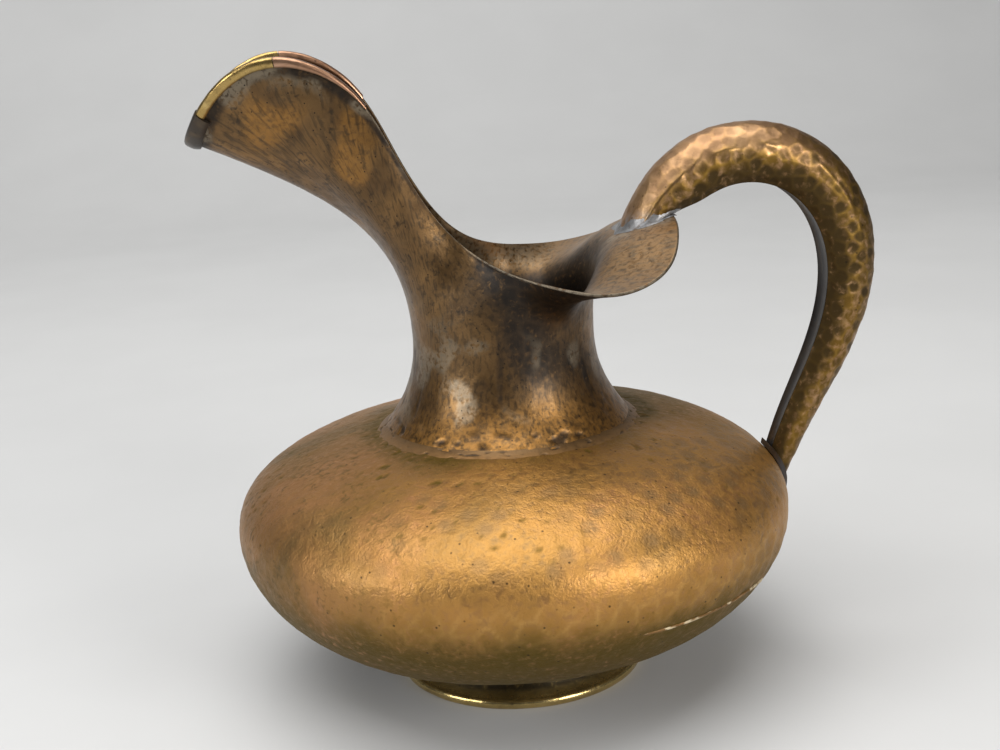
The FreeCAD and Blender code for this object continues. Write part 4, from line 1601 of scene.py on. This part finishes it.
@dataclass
class Foot:
    """The flared foot ring with its rolled edge."""

    belly: Belly
    radius: float = 45.4
    top_radius: float = 38.0
    bow: float = 1.2
    bead: float = 4.0
    bead_join: float = 0.4
    bead_start: float = 72.0
    bead_turn: float = 324.0
    flat: float = 0.15
    sheet: float = 1.2
    turns: int = 420
    wall_points: int = 14
    bead_points: int = 40
    highlight_points: int = 30
    rolled_points: int = 36
    long_wobble: Cloud = Cloud(16.0, 3.0, 0.35)
    short_wobble: Cloud = Cloud(5.0, 9.0, 0.12)
    wobble_below: Ramp = Ramp(8.0, 3.0)
    wobble_in: float = 0.25
    wall_above: Ramp = Ramp(3.6, 6.5)
    wall_shade: float = 0.95
    bright: Cloud = Cloud(9.0, 1.0, 0.4)
    bead_highlight_share: float = 0.6

    def build(self, dresser: Dresser) -> None:
        """Make the ring and coat the wire and the solder.

        Args:
            dresser: Sets the pieces on the part.
        """
        half = np.array([self.sheet / 2, 0.0])
        center = np.array([self.radius - self.bead / 2, self.bead / 2 - self.flat])
        rim = self.belly.bowl_height(self.top_radius)
        share = np.linspace(0, 1, self.wall_points)
        hollow = self.bow * 4 * share * (1 - share)
        wall = np.stack([self.top_radius + (center[0] - self.top_radius) * share - hollow,
                         rim + (center[1] + self.bead * self.bead_join - rim) * share], -1)
        angles = np.radians(np.linspace(self.bead_start, self.bead_start - self.bead_turn, self.bead_points))
        ball = center + self.bead / 2 * np.stack([np.cos(angles), np.sin(angles)], -1)
        ball[:, 1] = np.maximum(ball[:, 1], 0.0)
        outline = np.vstack([wall + half, ball, wall[::-1] - half])
        points = spun(outline, self.turns)
        around = points * FLAT
        wobble = self.long_wobble.at(around) + self.short_wobble.at(around) - self.wobble_in
        points = points + unit(around) * (wobble * self.wobble_below.at(points[..., 2]))[..., None]
        rows = np.arange(len(outline)) - self.wall_points
        # The bead's outer face takes the bright ridge colour: partly polished brass, partly a painted highlight
        bead = np.where((rows >= 0) & (rows < self.highlight_points), 1.0, 0.0)
        # Painted shade on the inner face of the roll and up the wall under the belly
        shade = np.where(rows >= self.rolled_points, 1.0, 0.0) + self.wall_above.at(points[..., 2]) * self.wall_shade
        marks = {Mark.RIDGE: bead * (self.bead_highlight_share + self.bright.at(around)), Mark.STAIN: np.clip(shade, 0, 1)}
        piece = write_mesh("foot_rolled", points, Ends.CLOSED, Ends.CLOSED, marks)
        dresser.place(piece, FOOT, "foot_ring")
        dresser.coat("foot_wire", FOOT)
        dresser.coat("foot_solder", SOLDER)


@dataclass(frozen=True)
class Lamp:
    """A soft square lamp: places and size in metres, power in watts."""

    name: str
    place: Place
    aim: Place
    size: float
    power: float
    color: Color

    def hang(self) -> None:
        """Hang the lamp in the scene."""
        light = bpy.data.lights.new(self.name, "AREA")
        light.energy, light.size, light.color = self.power, self.size, self.color
        body = bpy.data.objects.new(self.name, light)
        body.location = self.place
        body.rotation_euler = (Vector(self.aim) - Vector(self.place)).to_track_quat("-Z", "Y").to_euler()
        bpy.context.scene.collection.objects.link(body)


@dataclass
class Studio:
    """The pale sweep, the soft lamps and the camera."""

    camera_place: Place = (-50.10, -520.33, 247.40)
    heading: float = 5.284
    pitch: float = 14.75
    roll: float = -3.507
    lens: float = 54.0
    sensor: float = 36.0
    clip: tuple[float, float] = (0.01, 50.0)
    sweep_color: Color = (0.55, 0.553, 0.555)
    sweep_shade: float = 0.97
    sweep_patch: float = 120.0
    sweep_roughness: float = 0.75
    sweep_half_width: float = 3500.0
    sweep_front: float = -2500.0
    sweep_bend: float = 1100.0
    sweep_radius: float = 700.0
    sweep_height: float = 3000.0
    sweep_points: int = 24
    room_color: Color = (0.62, 0.63, 0.65)
    room_strength: float = 0.08
    lamps: tuple[Lamp, ...] = (
        Lamp("ceiling", (-0.22, -0.2, 2.0), (0, 0, 0), 2.2, 58.0, (1.0, 0.99, 0.97)),
        Lamp("left_window", (-1.25, -0.6, 0.6), (0, 0, 0.1), 0.6, 8.5, (0.96, 0.98, 1.0)),
        Lamp("front_window", (0.82, -1.08, 0.55), (0, 0, 0.1), 0.6, 12.5, (1.0, 0.98, 0.95)),
        Lamp("backdrop", (-0.2, 0.9, 0.9), (0, 1.2, 0.0), 0.9, 0.7, (0.97, 0.99, 1.0)))

    def camera(self) -> None:
        """Set the camera at the photograph's viewing angle."""
        heading, pitch, roll = (math.radians(value) for value in (self.heading, self.pitch, self.roll))
        forward = Vector((math.sin(heading) * math.cos(pitch), math.cos(heading) * math.cos(pitch), -math.sin(pitch)))
        level = Vector((math.cos(heading), -math.sin(heading), 0))
        upright = level.cross(forward)
        right = level * math.cos(roll) + upright * math.sin(roll)
        up = upright * math.cos(roll) - level * math.sin(roll)
        lens = bpy.data.cameras.new("camera")
        lens.lens, lens.sensor_width, lens.sensor_fit = self.lens, self.sensor, "HORIZONTAL"
        lens.clip_start, lens.clip_end = self.clip
        body = bpy.data.objects.new("camera", lens)
        axes = Matrix((right, up, -forward)).transposed().to_4x4()
        body.matrix_world = Matrix.Translation(Vector(self.camera_place) * MM) @ axes
        bpy.context.scene.collection.objects.link(body)
        bpy.context.scene.camera = body

    def sweep(self) -> None:
        """Lay the pale floor, curved up behind the ewer."""
        angles = np.linspace(0, math.pi / 2, self.sweep_points)
        bend = self.sweep_radius * np.stack([np.sin(angles), 1 - np.cos(angles)], -1) + [self.sweep_bend, 0]
        line = np.vstack([[[self.sweep_front, 0]], bend, [[bend[-1, 0], self.sweep_height]]])
        count = len(line)
        grid = np.stack([np.column_stack([np.full(count, side * self.sweep_half_width), line]) for side in (-1, 1)])
        mesh = bpy.data.meshes.new("sweep")
        faces = [[row, row + 1, count + row + 1, count + row] for row in range(count - 1)]
        mesh.from_pydata((grid.reshape(-1, 3) * MM).tolist(), [], faces)
        mesh.flip_normals()
        mesh.polygons.foreach_set("use_smooth", np.ones(len(mesh.polygons), dtype=bool))
        made = bpy.data.materials.new("sweep_paper")
        graph = Graph(made)
        where = graph.node("TexCoord").outputs["Object"]
        color = graph.mix(graph.step(graph.grain(where, self.sweep_patch), Layer.PAPER), self.sweep_color,
                          tuple(value * self.sweep_shade for value in self.sweep_color))
        shader = graph.node("BsdfPrincipled", {"Base Color": color, "Roughness": self.sweep_roughness})
        graph.node("OutputMaterial", {"Surface": shader.outputs[0]})
        mesh.materials.append(made)
        floor = bpy.data.objects.new("sweep", mesh)
        bpy.context.scene.collection.objects.link(floor)

    def build(self) -> None:
        """Set up the whole studio."""
        self.camera()
        self.sweep()
        for lamp in self.lamps:
            lamp.hang()
        world = bpy.data.worlds.new("room")
        bpy.context.scene.world = world
        world.use_nodes = True
        back = world.node_tree.nodes["Background"]
        back.inputs["Color"].default_value = (*self.room_color, 1)
        back.inputs["Strength"].default_value = self.room_strength
        bpy.context.scene.view_settings.view_transform = "Standard"


def main() -> None:
    """Build every piece of the ewer, then the studio around it."""
    logging.basicConfig(level=logging.INFO, format="%(name)s: %(message)s")
    dresser = Dresser()
    belly, neck = Belly(), Neck()
    for made in (belly, Seam(belly), neck, Binding(neck), Handle(belly, neck), Foot(belly), Collar(belly, neck)):
        made.build(dresser)
    Studio().build()


if __name__ == "__main__":
    main()
